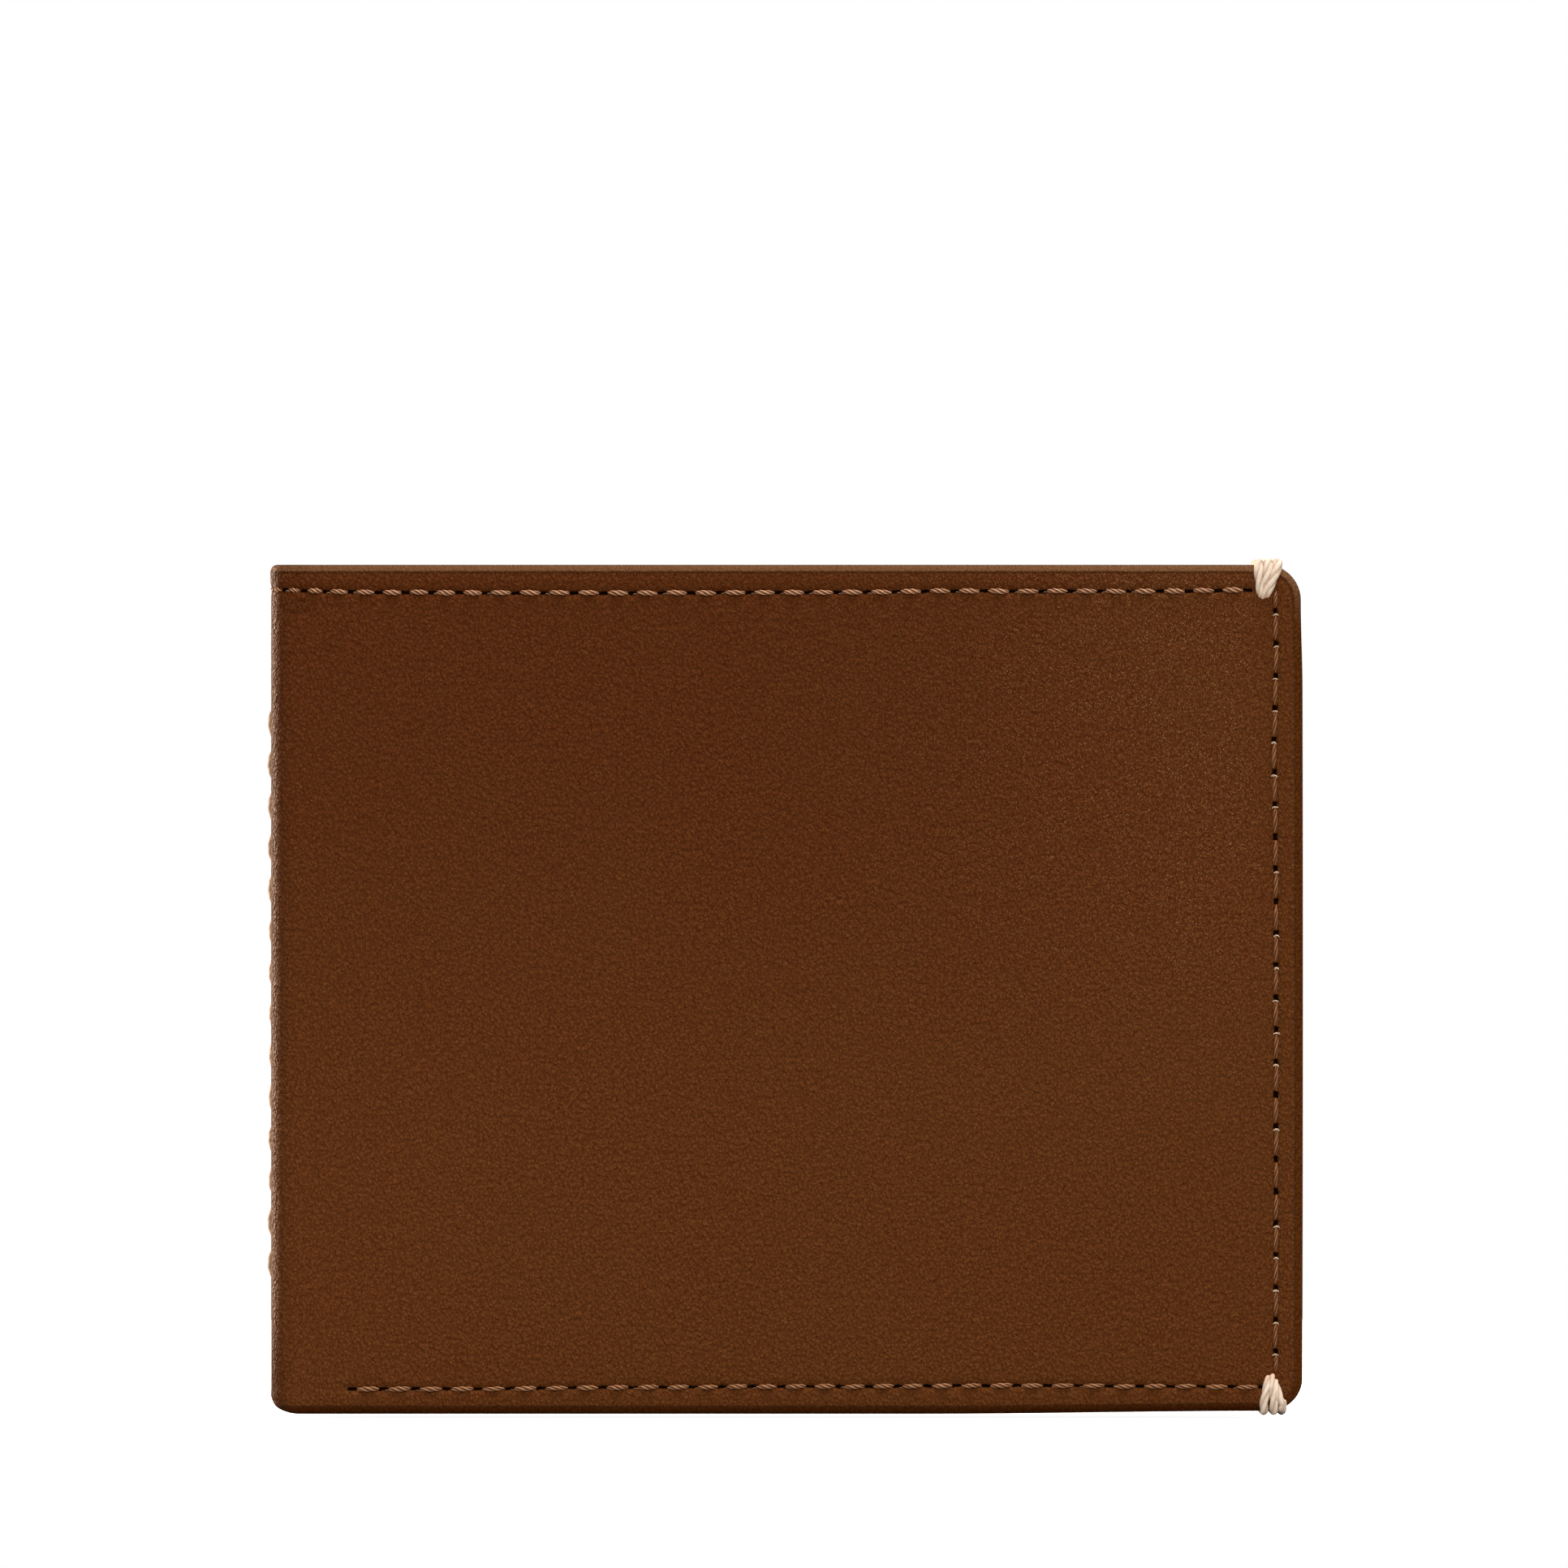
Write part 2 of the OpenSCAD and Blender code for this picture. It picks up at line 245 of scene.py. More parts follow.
def bot_s(k):
    return np.interp(k, *BOT_K)


# how far the rows stray from their straight lines: place along the row, then millimetres
TOP_D = ((7.0, 15.7, 22.5, 29.3, 36.1, 42.9, 49.7, 56.5, 63.3, 70.1, 76.9, 83.7, 90.5, 97.3, 104.1, 107.1),
         (0.14, 0.0, 0.035, 0.035, 0.06, -0.03, -0.085, -0.12, -0.12, -0.15, -0.15, -0.15, -0.11, -0.07, 0.06, 0.20))
BOT_D = ((4.0, 7.2, 14.0, 20.8, 27.6, 34.4, 41.2, 48.0, 54.8, 61.6, 68.4, 75.2, 82.0, 88.8, 95.6),
         (0.0, 0.03, 0.11, 0.20, 0.34, 0.38, 0.32, 0.28, 0.29, 0.25, 0.20, 0.16, 0.07, 0.035, 0.03))
FORE_D = ((55.0, 63.0, 69.0, 75.0, 80.9), (0.0, 0.08, 0.18, 0.09, -0.08))


def top_dz(s):
    return np.interp(s, *TOP_D)


def bot_dz(s):
    return np.interp(s, *BOT_D)


def fore_ds(z):
    return np.interp(z, *FORE_D)


def even_s(s, z):
    """s as it would be if the holes were evenly spaced, for the hole marks in the leather."""
    a = TOP_S0 + TOP_P * (np.interp(s, TOP_K[1], TOP_K[0]))
    b = BOT_S0 + BOT_P * (np.interp(s, BOT_K[1], BOT_K[0]))
    a = np.where(s < TOP_K[1][0], s, a)
    b = np.where(s < BOT_K[1][0], s, b)
    b = np.where(s > BOT_K[1][-1], s - BOT_K[1][-1] + BOT_S0 + BOT_P * BOT_N, b)
    return np.where(z > H - 5, a, np.where(z < 5, b, s))


SP_N, SP_P = 14, 4.37
SP_Z0 = H / 2 - 0.45 - (SP_N - 1) / 2 * SP_P


# ---------------------------------------------------------------- materials
class Mat:
    """A small helper to write node materials."""

    def __init__(self, name):
        self.m = bpy.data.materials.new(name)
        self.m.use_nodes = True
        self.nt = self.m.node_tree
        self.nt.nodes.clear()
        self.out = self.add("ShaderNodeOutputMaterial")
        self.b = self.add("ShaderNodeBsdfPrincipled")
        self.link(self.b, "BSDF", self.out, "Surface")

    def add(self, kind, **kw):
        n = self.nt.nodes.new(kind)
        for k, v in kw.items():
            setattr(n, k, v)
        return n

    def link(self, a, ao, b, bi):
        self.nt.links.new(a.outputs[ao], b.inputs[bi])

    def put(self, node, key, val):
        if isinstance(val, tuple) and len(val) == 2 and hasattr(val[0], "outputs"):
            self.nt.links.new(val[0].outputs[val[1]], node.inputs[key])
        else:
            node.inputs[key].default_value = val

    def attr(self, name):
        n = self.add("ShaderNodeAttribute", attribute_name=name)
        return n

    def math(self, op, a, b=None, c=None, clamp=False):
        n = self.add("ShaderNodeMath", operation=op, use_clamp=clamp)
        self.put(n, 0, a)
        if b is not None:
            self.put(n, 1, b)
        if c is not None:
            self.put(n, 2, c)
        return (n, 0)

    def mix(self, fac, a, b, blend="MIX"):
        n = self.add("ShaderNodeMix", data_type="RGBA", blend_type=blend)
        self.put(n, 0, fac)
        for k, v in ((6, a), (7, b)):
            if isinstance(v, tuple) and len(v) == 3 and not hasattr(v[0], "outputs"):
                v = (*v, 1.0)
            self.put(n, k, v)
        return (n, 2)

    def ramp(self, fac, lo_, hi_, a=0.0, b=1.0, kind="SMOOTHSTEP"):
        n = self.add("ShaderNodeMapRange", interpolation_type=kind)
        self.put(n, 0, fac)
        n.inputs[1].default_value, n.inputs[2].default_value = lo_, hi_
        n.inputs[3].default_value, n.inputs[4].default_value = a, b
        return (n, 0)

    def noise(self, vec, scale, detail=3.0, rough=0.55, dist=0.0):
        n = self.add("ShaderNodeTexNoise")
        self.put(n, "Vector", vec)
        n.inputs["Scale"].default_value = scale
        n.inputs["Detail"].default_value = detail
        n.inputs["Roughness"].default_value = rough
        n.inputs["Distortion"].default_value = dist
        return (n, 0)

    def voronoi(self, vec, scale, feature="SMOOTH_F1", smooth=0.6, rand=1.0):
        n = self.add("ShaderNodeTexVoronoi", feature=feature)
        self.put(n, "Vector", vec)
        n.inputs["Scale"].default_value = scale
        n.inputs["Randomness"].default_value = rand
        if feature == "SMOOTH_F1":
            n.inputs["Smoothness"].default_value = smooth
        return (n, 0)

    def bump(self, height, dist_mm, strength=1.0, normal=None):
        n = self.add("ShaderNodeBump")
        n.inputs["Strength"].default_value = strength
        n.inputs["Distance"].default_value = dist_mm * MM
        self.put(n, "Height", height)
        if normal is not None:
            self.put(n, "Normal", normal)
        return (n, 0)

    def scaled(self, vec, s):
        n = self.add("ShaderNodeVectorMath", operation="MULTIPLY")
        self.put(n, 0, vec)
        n.inputs[1].default_value = s
        return (n, 0)

    def xyz(self, vec):
        n = self.add("ShaderNodeSeparateXYZ")
        self.put(n, 0, vec)
        return [(n, 0), (n, 1), (n, 2)]


def leather_cover():
    M = Mat("leather_grained_brown")
    tex = (M.attr("tex"), 1)
    e = (M.attr("edge"), 2)
    p2 = (M.attr("pos2"), 1)
    ts = M.scaled(tex, (1.22, 0.86, 1.0))
    warp = M.noise(ts, 0.9, 2, 0.5)
    wv = M.add("ShaderNodeVectorMath", operation="MULTIPLY_ADD")
    M.put(wv, 0, warp)
    wv.inputs[1].default_value = (0.35, 0.35, 0.35)
    M.put(wv, 2, (ts[0], ts[1]))
    v1 = M.voronoi((wv, 0), 2.75, "SMOOTH_F1", 0.36)
    v2 = M.voronoi((wv, 0), 5.2, "SMOOTH_F1", 0.35)
    fine = M.noise(ts, 8.0, 3, 0.65)
    grain = M.math("ADD", M.math("MULTIPLY", v1, 0.62), M.math("MULTIPLY", v2, 0.30))
    grain = M.math("SUBTRACT", 1.0, grain)
    broad = M.noise(tex, 0.32, 4, 0.6)
    height = M.math("ADD", grain, M.math("MULTIPLY", fine, 0.20))
    height = M.math("ADD", height, M.math("MULTIPLY", broad, 0.25))
    # colour: close, fine mottling from near-black brown to tan, with slow drifts of red and olive
    m1 = M.ramp(M.noise(ts, 2.05, 3, 0.70), 0.31, 0.69)
    m2 = M.ramp(M.noise(ts, 4.4, 3, 0.7), 0.38, 0.64)
    big = M.ramp(M.noise(tex, 0.045, 3, 0.5), 0.35, 0.68)
    c = M.mix(m1, (0.0610, 0.0105, 0.0006), (0.0990, 0.0290, 0.0052))
    c = M.mix(M.math("MULTIPLY", m2, 0.50), c, (0.1300, 0.0455, 0.0112))
    c = M.mix(M.math("MULTIPLY", big, 0.25), c, (0.0880, 0.0300, 0.0060))
    valley = M.ramp(v1, 0.28, 0.60)
    c = M.mix(M.math("MULTIPLY", valley, 0.42), c, (0.036, 0.0070, 0.0008))
    pz_ = M.xyz(p2)
    # painted glints: bright specks in the base colour all over the face, strongest toward the top on the fore-edge
    # side, where the light glances off the grain
    glint = M.math("MULTIPLY", M.ramp(pz_[0], 62.0, 10.0), M.ramp(pz_[1], 20.0, 75.0))
    glint = M.math("MULTIPLY", glint, M.ramp(pz_[0], 3.0, 6.0))
    glint_specks = M.math("MULTIPLY", M.ramp(v2, 0.30, 0.10), M.ramp(fine, 0.45, 0.57))
    glint_specks = M.math("MULTIPLY", glint_specks, M.math("ADD", 0.15, M.math("MULTIPLY", glint, 0.85)))
    c = M.mix(M.math("MULTIPLY", glint_specks, 0.85), c, (0.520, 0.285, 0.155))
    # painted shade: the colour is darker and redder toward the top and toward the spine side, where less light falls
    upper_spine_shade = M.math("MULTIPLY", M.ramp(pz_[1], 22.0, 76.0), M.ramp(pz_[0], 6.0, 42.0, 0.2, 1.0))
    c = M.mix(1.0, c, M.mix(upper_spine_shade, (1.09, 1.07, 0.99), (0.925, 0.795, 0.64)), "MULTIPLY")
    # turned edge: a little lighter, partly rubbed and, along the top edge, a painted highlight where the top light
    # falls on it; a dark line where it meets the face
    rub_and_top_highlight = M.ramp(e, 0.74, 0.56)
    rub_and_top_highlight = M.math("MULTIPLY", rub_and_top_highlight, M.ramp(M.xyz(p2)[1], H - 8, H - 1.5, 0.12, 1.0))
    c = M.mix(M.math("MULTIPLY", rub_and_top_highlight, 0.55), c, (0.150, 0.072, 0.031))
    line = M.math("MULTIPLY", M.ramp(e, 0.64, 0.78), M.ramp(e, 1.00, 0.82))
    c = M.mix(M.math("MULTIPLY", line, 0.72), c, (0.032, 0.0095, 0.0012))
    # painted shade: the rounded rim, which turns away from the light, is darker except along the top edge, and darkest
    # along the bottom
    low = M.ramp(pz_[1], 40.0, 30.0)
    rim = M.math("MULTIPLY", M.ramp(e, 0.92, 0.66), M.ramp(pz_[1], H - 1.5, H - 7))
    rim = M.math("MULTIPLY", rim, M.math("LESS_THAN", e, 0.695))
    c = M.mix(rim, c, M.mix(1.0, c, (0.80, 0.70, 0.42), "MULTIPLY"))
    # painted shade along the bottom edge, which faces down, away from the light
    foot_shade = M.math("MULTIPLY", M.ramp(pz_[1], 1.15, 0.10), M.math("LESS_THAN", pz_[0], 300.0))
    c = M.mix(foot_shade, c, M.mix(1.0, c, (0.58, 0.50, 0.30), "MULTIPLY"))
    # painted shade on the lower part of the spine turn, where the light from behind on the left is taken away
    heel_shade = M.math("MULTIPLY", M.ramp(pz_[1], 13.0, 4.0), M.ramp(pz_[0], S1 + 0.5, S1 + 1.8))
    c = M.mix(heel_shade, c, M.mix(1.0, c, (0.72, 0.66, 0.56), "MULTIPLY"))
    foot_shade = M.math("MAXIMUM", foot_shade, heel_shade)
    jog = M.add("ShaderNodeVectorMath", operation="MULTIPLY_ADD")
    jn = M.add("ShaderNodeTexNoise")
    M.put(jn, "Vector", tex)
    jn.inputs["Scale"].default_value = 1.7
    jc = M.add("ShaderNodeVectorMath", operation="SUBTRACT")
    M.put(jc, 0, (jn, 1))
    jc.inputs[1].default_value = (0.5, 0.5, 0.5)
    M.put(jog, 0, (jc, 0))
    jog.inputs[1].default_value = (0.35, 0.35, 0.0)
    M.put(jog, 2, p2)
    s, z, _ = M.xyz((jog, 0))

    def holes(along, across, a0, pitch, b0, lo_, hi_, half_l, half_w):
        d = M.math("MULTIPLY", M.math("PINGPONG", M.math("DIVIDE", M.math("SUBTRACT", along, a0), pitch), 0.5), pitch)
        m1 = M.ramp(d, half_l + 0.06, half_l - 0.06)
        m2 = M.ramp(M.math("ABSOLUTE", M.math("SUBTRACT", across, b0)), half_w + 0.07, half_w - 0.05)
        m3 = M.math("MULTIPLY", M.math("GREATER_THAN", along, lo_), M.math("LESS_THAN", along, hi_))
        return M.math("MULTIPLY", M.math("MULTIPLY", m1, m2), m3)

    # stitch holes: the leather is painted near-black there, painted shade standing in for the holes' depth
    h = holes(s, z, TOP_S0, TOP_P, TOP_Z - 0.03, TOP_S0 - 0.9, 300, 0.50, 0.17)
    h = M.math("MAXIMUM", h, holes(s, z, BOT_S0, BOT_P, BOT_Z, BOT_S0 - 0.9, BOT_S0 + BOT_N * BOT_P + 0.6, 0.50, 0.15))
    h = M.math("MAXIMUM", h, holes(z, s, FORE_Z0, FORE_P, FORE_S, FORE_Z0 - 1, FORE_Z0 + FORE_N * FORE_P + 1, 0.34, 0.24))
    c = M.mix(h, c, (0.004, 0.0016, 0.0006))
    M.put(M.b, "Base Color", c)
    rough = M.math("ADD", 0.42, M.math("MULTIPLY", broad, 0.16))
    rough = M.math("ADD", rough, M.math("MULTIPLY", valley, 0.12))
    rough = M.math("ADD", rough, M.math("MULTIPLY", h, 0.4), clamp=True)
    M.put(M.b, "Roughness", rough)
    spec = M.math("MULTIPLY", M.math("ADD", 0.10, M.math("MULTIPLY", glint_specks, 0.30)), M.math("SUBTRACT", 1.0, h))
    M.put(M.b, "Specular IOR Level", M.math("MULTIPLY", spec, M.math("SUBTRACT", 1.0, M.math("MULTIPLY", M.math("MAXIMUM", rim, foot_shade), 0.75))))
    M.put(M.b, "Specular Tint", (1.0, 0.66, 0.42, 1))
    # the grain stands up more where the leather is stretched round the spine
    turn = M.ramp(pz_[0], S1 - 1.0, S1 + 1.2)
    height = M.math("MULTIPLY", height, M.math("ADD", 2.2, M.math("MULTIPLY", turn, 1.4)))
    M.put(M.b, "Normal", M.bump(height, 0.14, 1.0))
    return M.m


def leather_smooth(name, a, b, grain_scale=3.2, rough0=0.44, edge_col=(0.030, 0.011, 0.005)):
    """Thin pocket leather: finer grain, dark painted edges, a pressed line under the mouth."""
    M = Mat(name)
    tex = (M.attr("tex"), 1)
    e = (M.attr("edge"), 2)
    v1 = M.voronoi(tex, grain_scale, "SMOOTH_F1", 0.5)
    v2 = M.voronoi(tex, grain_scale * 2.3, "SMOOTH_F1", 0.4)
    broad = M.noise(tex, 0.22, 4, 0.6)
    mott = M.ramp(M.noise(tex, 0.5, 5, 0.65), 0.36, 0.66)
    c = M.mix(mott, a, b)
    c = M.mix(M.math("MULTIPLY", M.ramp(v1, 0.3, 0.62), 0.30), c, (0.028, 0.008, 0.002))
    wear = M.math("MULTIPLY", M.ramp(e, 0.75, 0.30), M.ramp(M.noise(tex, 1.3, 4, 0.7), 0.40, 0.72))
    c = M.mix(M.math("MULTIPLY", wear, 0.45), c, (0.20, 0.095, 0.040))
    c = M.mix(M.math("MULTIPLY", M.ramp(e, 0.20, 0.05), 0.85), c, edge_col)
    M.put(M.b, "Base Color", c)
    M.put(M.b, "Roughness", M.math("ADD", rough0, M.math("MULTIPLY", broad, 0.18)))
    M.put(M.b, "Specular IOR Level", 0.18)
    M.put(M.b, "Specular Tint", (1.0, 0.70, 0.48, 1))
    height = M.math("SUBTRACT", 1.0, M.math("ADD", M.math("MULTIPLY", v1, 0.6), M.math("MULTIPLY", v2, 0.25)))
    height = M.math("ADD", height, M.math("MULTIPLY", broad, 0.6))
    M.put(M.b, "Normal", M.bump(height, 0.05, 0.7))
    return M.m


def lining_fabric():
    """Dark brown twill: two thread systems crossed at a slant."""
    M = Mat("lining_twill")
    tex = (M.attr("tex"), 1)
    x, z, _ = M.xyz(tex)
    p = 0.42
    u = M.math("DIVIDE", x, p)
    v = M.math("DIVIDE", z, p)
    warp = M.math("PINGPONG", u, 0.5)
    weft = M.math("PINGPONG", v, 0.5)
    diag = M.math("PINGPONG", M.math("DIVIDE", M.math("ADD", x, z), p * 2.0), 0.5)
    sel = M.ramp(diag, 0.18, 0.32)
    hgt = M.math("ADD", M.math("MULTIPLY", M.math("MULTIPLY", warp, 2.0), sel), M.math("MULTIPLY", M.math("MULTIPLY", weft, 2.0), M.math("SUBTRACT", 1.0, sel)))
    hgt = M.math("ADD", hgt, M.math("MULTIPLY", M.noise(tex, 5.0, 3, 0.6), 0.35))
    c = M.mix(sel, (0.046, 0.0200, 0.0090), (0.074, 0.0340, 0.0160))
    c = M.mix(M.math("MULTIPLY", M.ramp(hgt, 0.65, 0.15), 0.7), c, (0.012, 0.006, 0.004))
    c = M.mix(M.math("MULTIPLY", M.ramp(M.noise(tex, 0.12, 4, 0.6), 0.4, 0.7), 0.35), c, (0.086, 0.040, 0.019))
    M.put(M.b, "Base Color", c)
    M.put(M.b, "Roughness", 0.78)
    M.put(M.b, "Specular IOR Level", 0.15)
    M.put(M.b, "Sheen Weight", 0.10)
    M.put(M.b, "Sheen Roughness", 0.45)
    M.put(M.b, "Sheen Tint", (0.60, 0.34, 0.20, 1))
    M.put(M.b, "Normal", M.bump(hgt, 0.07, 0.8))
    return M.m


def thread_mat(name, dark, mid, light, rough=0.5, fib=9.0, sheen=0.3, crease=0.85, hole_tint=0.0):
    """Twisted thread. tex.x runs along a ply in mm, tex.y round it, tex.z tells the plies apart."""
    M = Mat(name)
    tex = (M.attr("tex"), 1)
    st = M.scaled(tex, (1.1, fib, 1.0))
    f1 = M.noise(st, 1.0, 4, 0.65, 0.3)
    f2 = M.noise(M.scaled(tex, (3.0, fib * 2.0, 1.0)), 1.0, 3, 0.6)
    var = M.noise(M.scaled(tex, (0.18, 0.2, 0.37)), 1.0, 2, 0.5)
    c = M.mix(M.ramp(f1, 0.33, 0.66), dark, mid)
    c = M.mix(M.math("MULTIPLY", M.ramp(f2, 0.50, 0.72), 0.55), c, light)
    c = M.mix(M.math("MULTIPLY", M.ramp(var, 0.38, 0.66), 0.35), c, dark)
    # painted shade in the crease between plies, and a painted highlight along each ply's crest
    e = (M.attr("edge"), 2)
    c = M.mix(M.math("MULTIPLY", M.ramp(e, 0.84, 0.42), crease), c, tuple(0.22 * q for q in dark))
    c = M.mix(M.math("MULTIPLY", M.ramp(e, 0.86, 1.0), 0.35), c, light)
    if hole_tint:
        # the strand is tinted orange-brown for its first part, where it goes into its hole
        along = M.xyz(tex)[0]
        c = M.mix(M.math("MULTIPLY", M.ramp(along, hole_tint, 0.2), 0.55), c, (0.50, 0.27, 0.13))
    M.put(M.b, "Base Color", c)
    M.put(M.b, "Roughness", M.math("ADD", rough, M.math("MULTIPLY", f1, 0.15)))
    M.put(M.b, "Specular IOR Level", 0.22)
    M.put(M.b, "Specular Tint", (1.0, 0.78, 0.58, 1))
    M.put(M.b, "Sheen Weight", sheen)
    M.put(M.b, "Sheen Roughness", 0.35)
    M.put(M.b, "Sheen Tint", (*light, 1))
    hgt = M.math("ADD", f1, M.math("MULTIPLY", f2, 0.5))
    M.put(M.b, "Normal", M.bump(hgt, 0.03, 0.7))
    return M.m


def board_mat():
    M = Mat("fibre_board")
    co = M.add("ShaderNodeTexCoord")
    v = (co, 3)
    n1 = M.noise(v, 900.0, 5, 0.7)
    n2 = M.noise(v, 120.0, 3, 0.6)
    c = M.mix(M.ramp(n1, 0.35, 0.65), (0.30, 0.19, 0.11), (0.42, 0.29, 0.18))
    c = M.mix(M.math("MULTIPLY", M.ramp(n2, 0.4, 0.7), 0.4), c, (0.22, 0.13, 0.07))
    M.put(M.b, "Base Color", c)
    M.put(M.b, "Roughness", 0.85)
    M.put(M.b, "Normal", M.bump(n1, 0.05, 0.7))
    return M.m


COVER = leather_cover()
POCKET = leather_smooth("leather_pocket_brown", (0.088, 0.024, 0.0062), (0.070, 0.024, 0.0075))
MARGIN = leather_smooth("leather_folded_margin", (0.074, 0.024, 0.0085), (0.052, 0.018, 0.0065), 2.6, 0.55)
LINING = lining_fabric()
THREAD = thread_mat("thread_light_brown", (0.115, 0.038, 0.013), (0.330, 0.140, 0.064), (0.860, 0.500, 0.300), 0.42, sheen=0.03)
THREAD_LOW = thread_mat("thread_bottom_brown", (0.105, 0.034, 0.010), (0.260, 0.104, 0.040), (0.600, 0.320, 0.165), 0.44, sheen=0.02)
THREAD_DARK = thread_mat("thread_fore_edge_brown", (0.120, 0.040, 0.014), (0.225, 0.088, 0.034), (0.370, 0.175, 0.080), 0.45, sheen=0.02)
THREAD_PALE = thread_mat("thread_pale_loops", (0.480, 0.300, 0.170), (0.780, 0.600, 0.420), (0.950, 0.850, 0.700), 0.42, sheen=0.03, crease=0.5)
CORD = thread_mat("cord_cream", (0.500, 0.340, 0.230), (0.680, 0.550, 0.430), (0.760, 0.660, 0.560), 0.60, 5.0, 0.05, 0.55, hole_tint=1.5)
CORD_TAN = thread_mat("cord_spine_tan", (0.230, 0.135, 0.085), (0.360, 0.235, 0.160), (0.480, 0.350, 0.255), 0.60, 5.0, 0.05, 0.4)
BOARD = board_mat()


# ---------------------------------------------------------------- cover leather
def hole_points():
    pts = [(top_s(k), TOP_Z + top_dz(top_s(k)), 0) for k in range(TOP_N + 1)]
    pts += [(bot_s(k), BOT_Z + bot_dz(bot_s(k)), 0) for k in range(BOT_N + 1)]
    pts += [(FORE_S + fore_ds(FORE_Z0 + k * FORE_P), FORE_Z0 + k * FORE_P, 1) for k in range(FORE_N + 1)]
    pts += [(S3, SP_Z0 + (k - 0.5) * SP_P, 2) for k in range(SP_N + 1)]
    return pts


def cover_piece(side, name):
    near = [0, .05, .12, .22, .34, .48, .62, .72, .80, .86, .95, 1.10, 1.35, 1.6]
    fs = near + [1.9, 2.15, 2.35, 2.5, 2.65, 2.8, 2.95, 3.1, 3.25, 3.45, 3.7, 4.0]
    ns = int(round((S1 - 4.0) / (TOP_P / 6)))
    sl = np.concatenate([fs, np.linspace(4.0, S1, ns + 1)[1:], np.linspace(S1, S2, 15)[1:], np.linspace(S2, S3, 17)[1:], S3 + np.array([0.05, 0.12, 0.2, 0.3])])
    zb = near + [1.9, 2.15, 2.3, 2.45, 2.6, 2.75, 2.9, 3.05, 3.3, 3.65, 4.0]
    zt = [H - q for q in (near + [1.9, 2.2, 2.4, 2.55, 2.68, 2.8, 2.92, 3.05, 3.2, 3.4, 3.7, 4.0])][::-1]
    nz = int(round((H - 8) / (FORE_P / 6)))
    zl = np.concatenate([zb, np.linspace(4.0, H - 4.0, nz + 1)[1:-1], zt])
    S, Z = np.meshgrid(sl, zl, indexing="ij")
    EZ = np.minimum(Z, H - Z)
    up = Z > H / 2
    s2, e2, e = round_corners(S, EZ, np.where(up, CRT, CR))
    z2 = np.where(up, H - e2, e2)
    q = np.clip(1 - e / np.where(up, 0.72, 0.80), 0, 1)
    t = (0.30 * q + 0.42 * q ** 2.5) * (1 - 0.62 * sstep(S1 - 1.5, S2, s2) * up)
    # pressed channels along the stitch lines
    dtop = np.abs(z2 - TOP_Z - top_dz(s2)) + 20 * (s2 < 2.5)
    dbot = np.abs(z2 - BOT_Z - bot_dz(s2)) + 20 * np.clip(s2 - (BOT_K[1][-1] + 0.5), 0, 1) + 20 * (s2 < 2.5)
    dfor = np.abs(s2 - FORE_S - fore_ds(z2)) + 20 * (z2 > TOP_Z + 0.3) + 20 * (z2 < BOT_Z - 0.3)
    dl = np.minimum(np.minimum(dtop, dbot), dfor)
    t = t + 0.085 * np.exp(-(dl / 0.42) ** 2)
    # the strip between a line and the edge stands a little fuller
    t = t - 0.05 * np.exp(-((e - 1.75) / 0.5) ** 2)
    # slow undulation of the face
    ph = 0.0 if side > 0 else 1.7
    face = sstep(3.0, 14, e) * (1 - sstep(S1 - 8, S1, s2))
    und = np.sin(s2 * 0.093 + ph) * np.sin(z2 * 0.081 + 0.6 + ph) + 0.5 * np.sin(s2 * 0.21 + z2 * 0.17 + ph)
    t = t + face * (0.045 + 0.035 * und)
    # between stitches the leather swells, at the holes it is drawn in
    for hs, hz, kind in hole_points():
        if kind == 0:
            g = np.exp(-((s2 - hs) / 0.55) ** 2 - ((z2 - hz) / 0.24) ** 2) * 0.30
        elif kind == 1:
            g = np.exp(-((s2 - hs) / 0.26) ** 2 - ((z2 - hz) / 0.50) ** 2) * 0.30
        else:
            g = np.exp(-((s2 - hs) / 0.9) ** 2 - ((z2 - hz) / 0.45) ** 2) * 0.28
        t = t + g
    spine_ch = np.exp(-((s2 - S3) / 0.95) ** 2) * sstep(SP_Z0 - 4, SP_Z0 - 2, z2) * (1 - sstep(SP_Z0 + 13 * SP_P + 2, SP_Z0 + 13 * SP_P + 4, z2))
    t = t + 0.12 * spine_ch
    ti = np.where(e < 0.80, 1.9 - 0.42 * np.clip(1 - e / 0.80, 0, 1) ** 2, 1.9 - 0.68 * sstep(0.80, 0.95, e))
    # the two halves of the skin pass under each other at the middle of the spine, so that no joint shows
    past = np.clip(s2 - S3, 0, 1)
    t = t + 1.2 * past ** 2
    ti = np.maximum(ti, t + 0.25) - 0.5 * past
    out = leather_map(side, s2, z2, t)
    inn = leather_map(side, s2, z2, ti)
    V = np.concatenate([out.reshape(-1, 3), inn.reshape(-1, 3)])
    F = shell_faces(*S.shape)
    sc = s2 if side > 0 else 2 * S3 - s2
    tex = np.concatenate([np.stack([sc, z2, np.zeros_like(z2)], -1).reshape(-1, 3), np.stack([sc, z2, 3 + ti], -1).reshape(-1, 3)])
    zr = z2 - top_dz(s2) * (1 - sstep(0.8, 1.9, np.abs(z2 - TOP_Z))) - bot_dz(s2) * (1 - sstep(0.8, 1.9, np.abs(z2 - BOT_Z)))
    sr = even_s(s2, z2) - fore_ds(z2) * (1 - sstep(0.8, 1.9, np.abs(s2 - FORE_S)))
    p2 = np.concatenate([np.stack([sr, zr, t], -1).reshape(-1, 3), np.stack([s2 + 900, z2 + 900, ti], -1).reshape(-1, 3)])
    ed = np.concatenate([e.ravel(), np.minimum(e.ravel(), 0.5) * 0 + 0.7])
    ob = build(name, V, F, tex, ed, p2, COVER)
    return ob


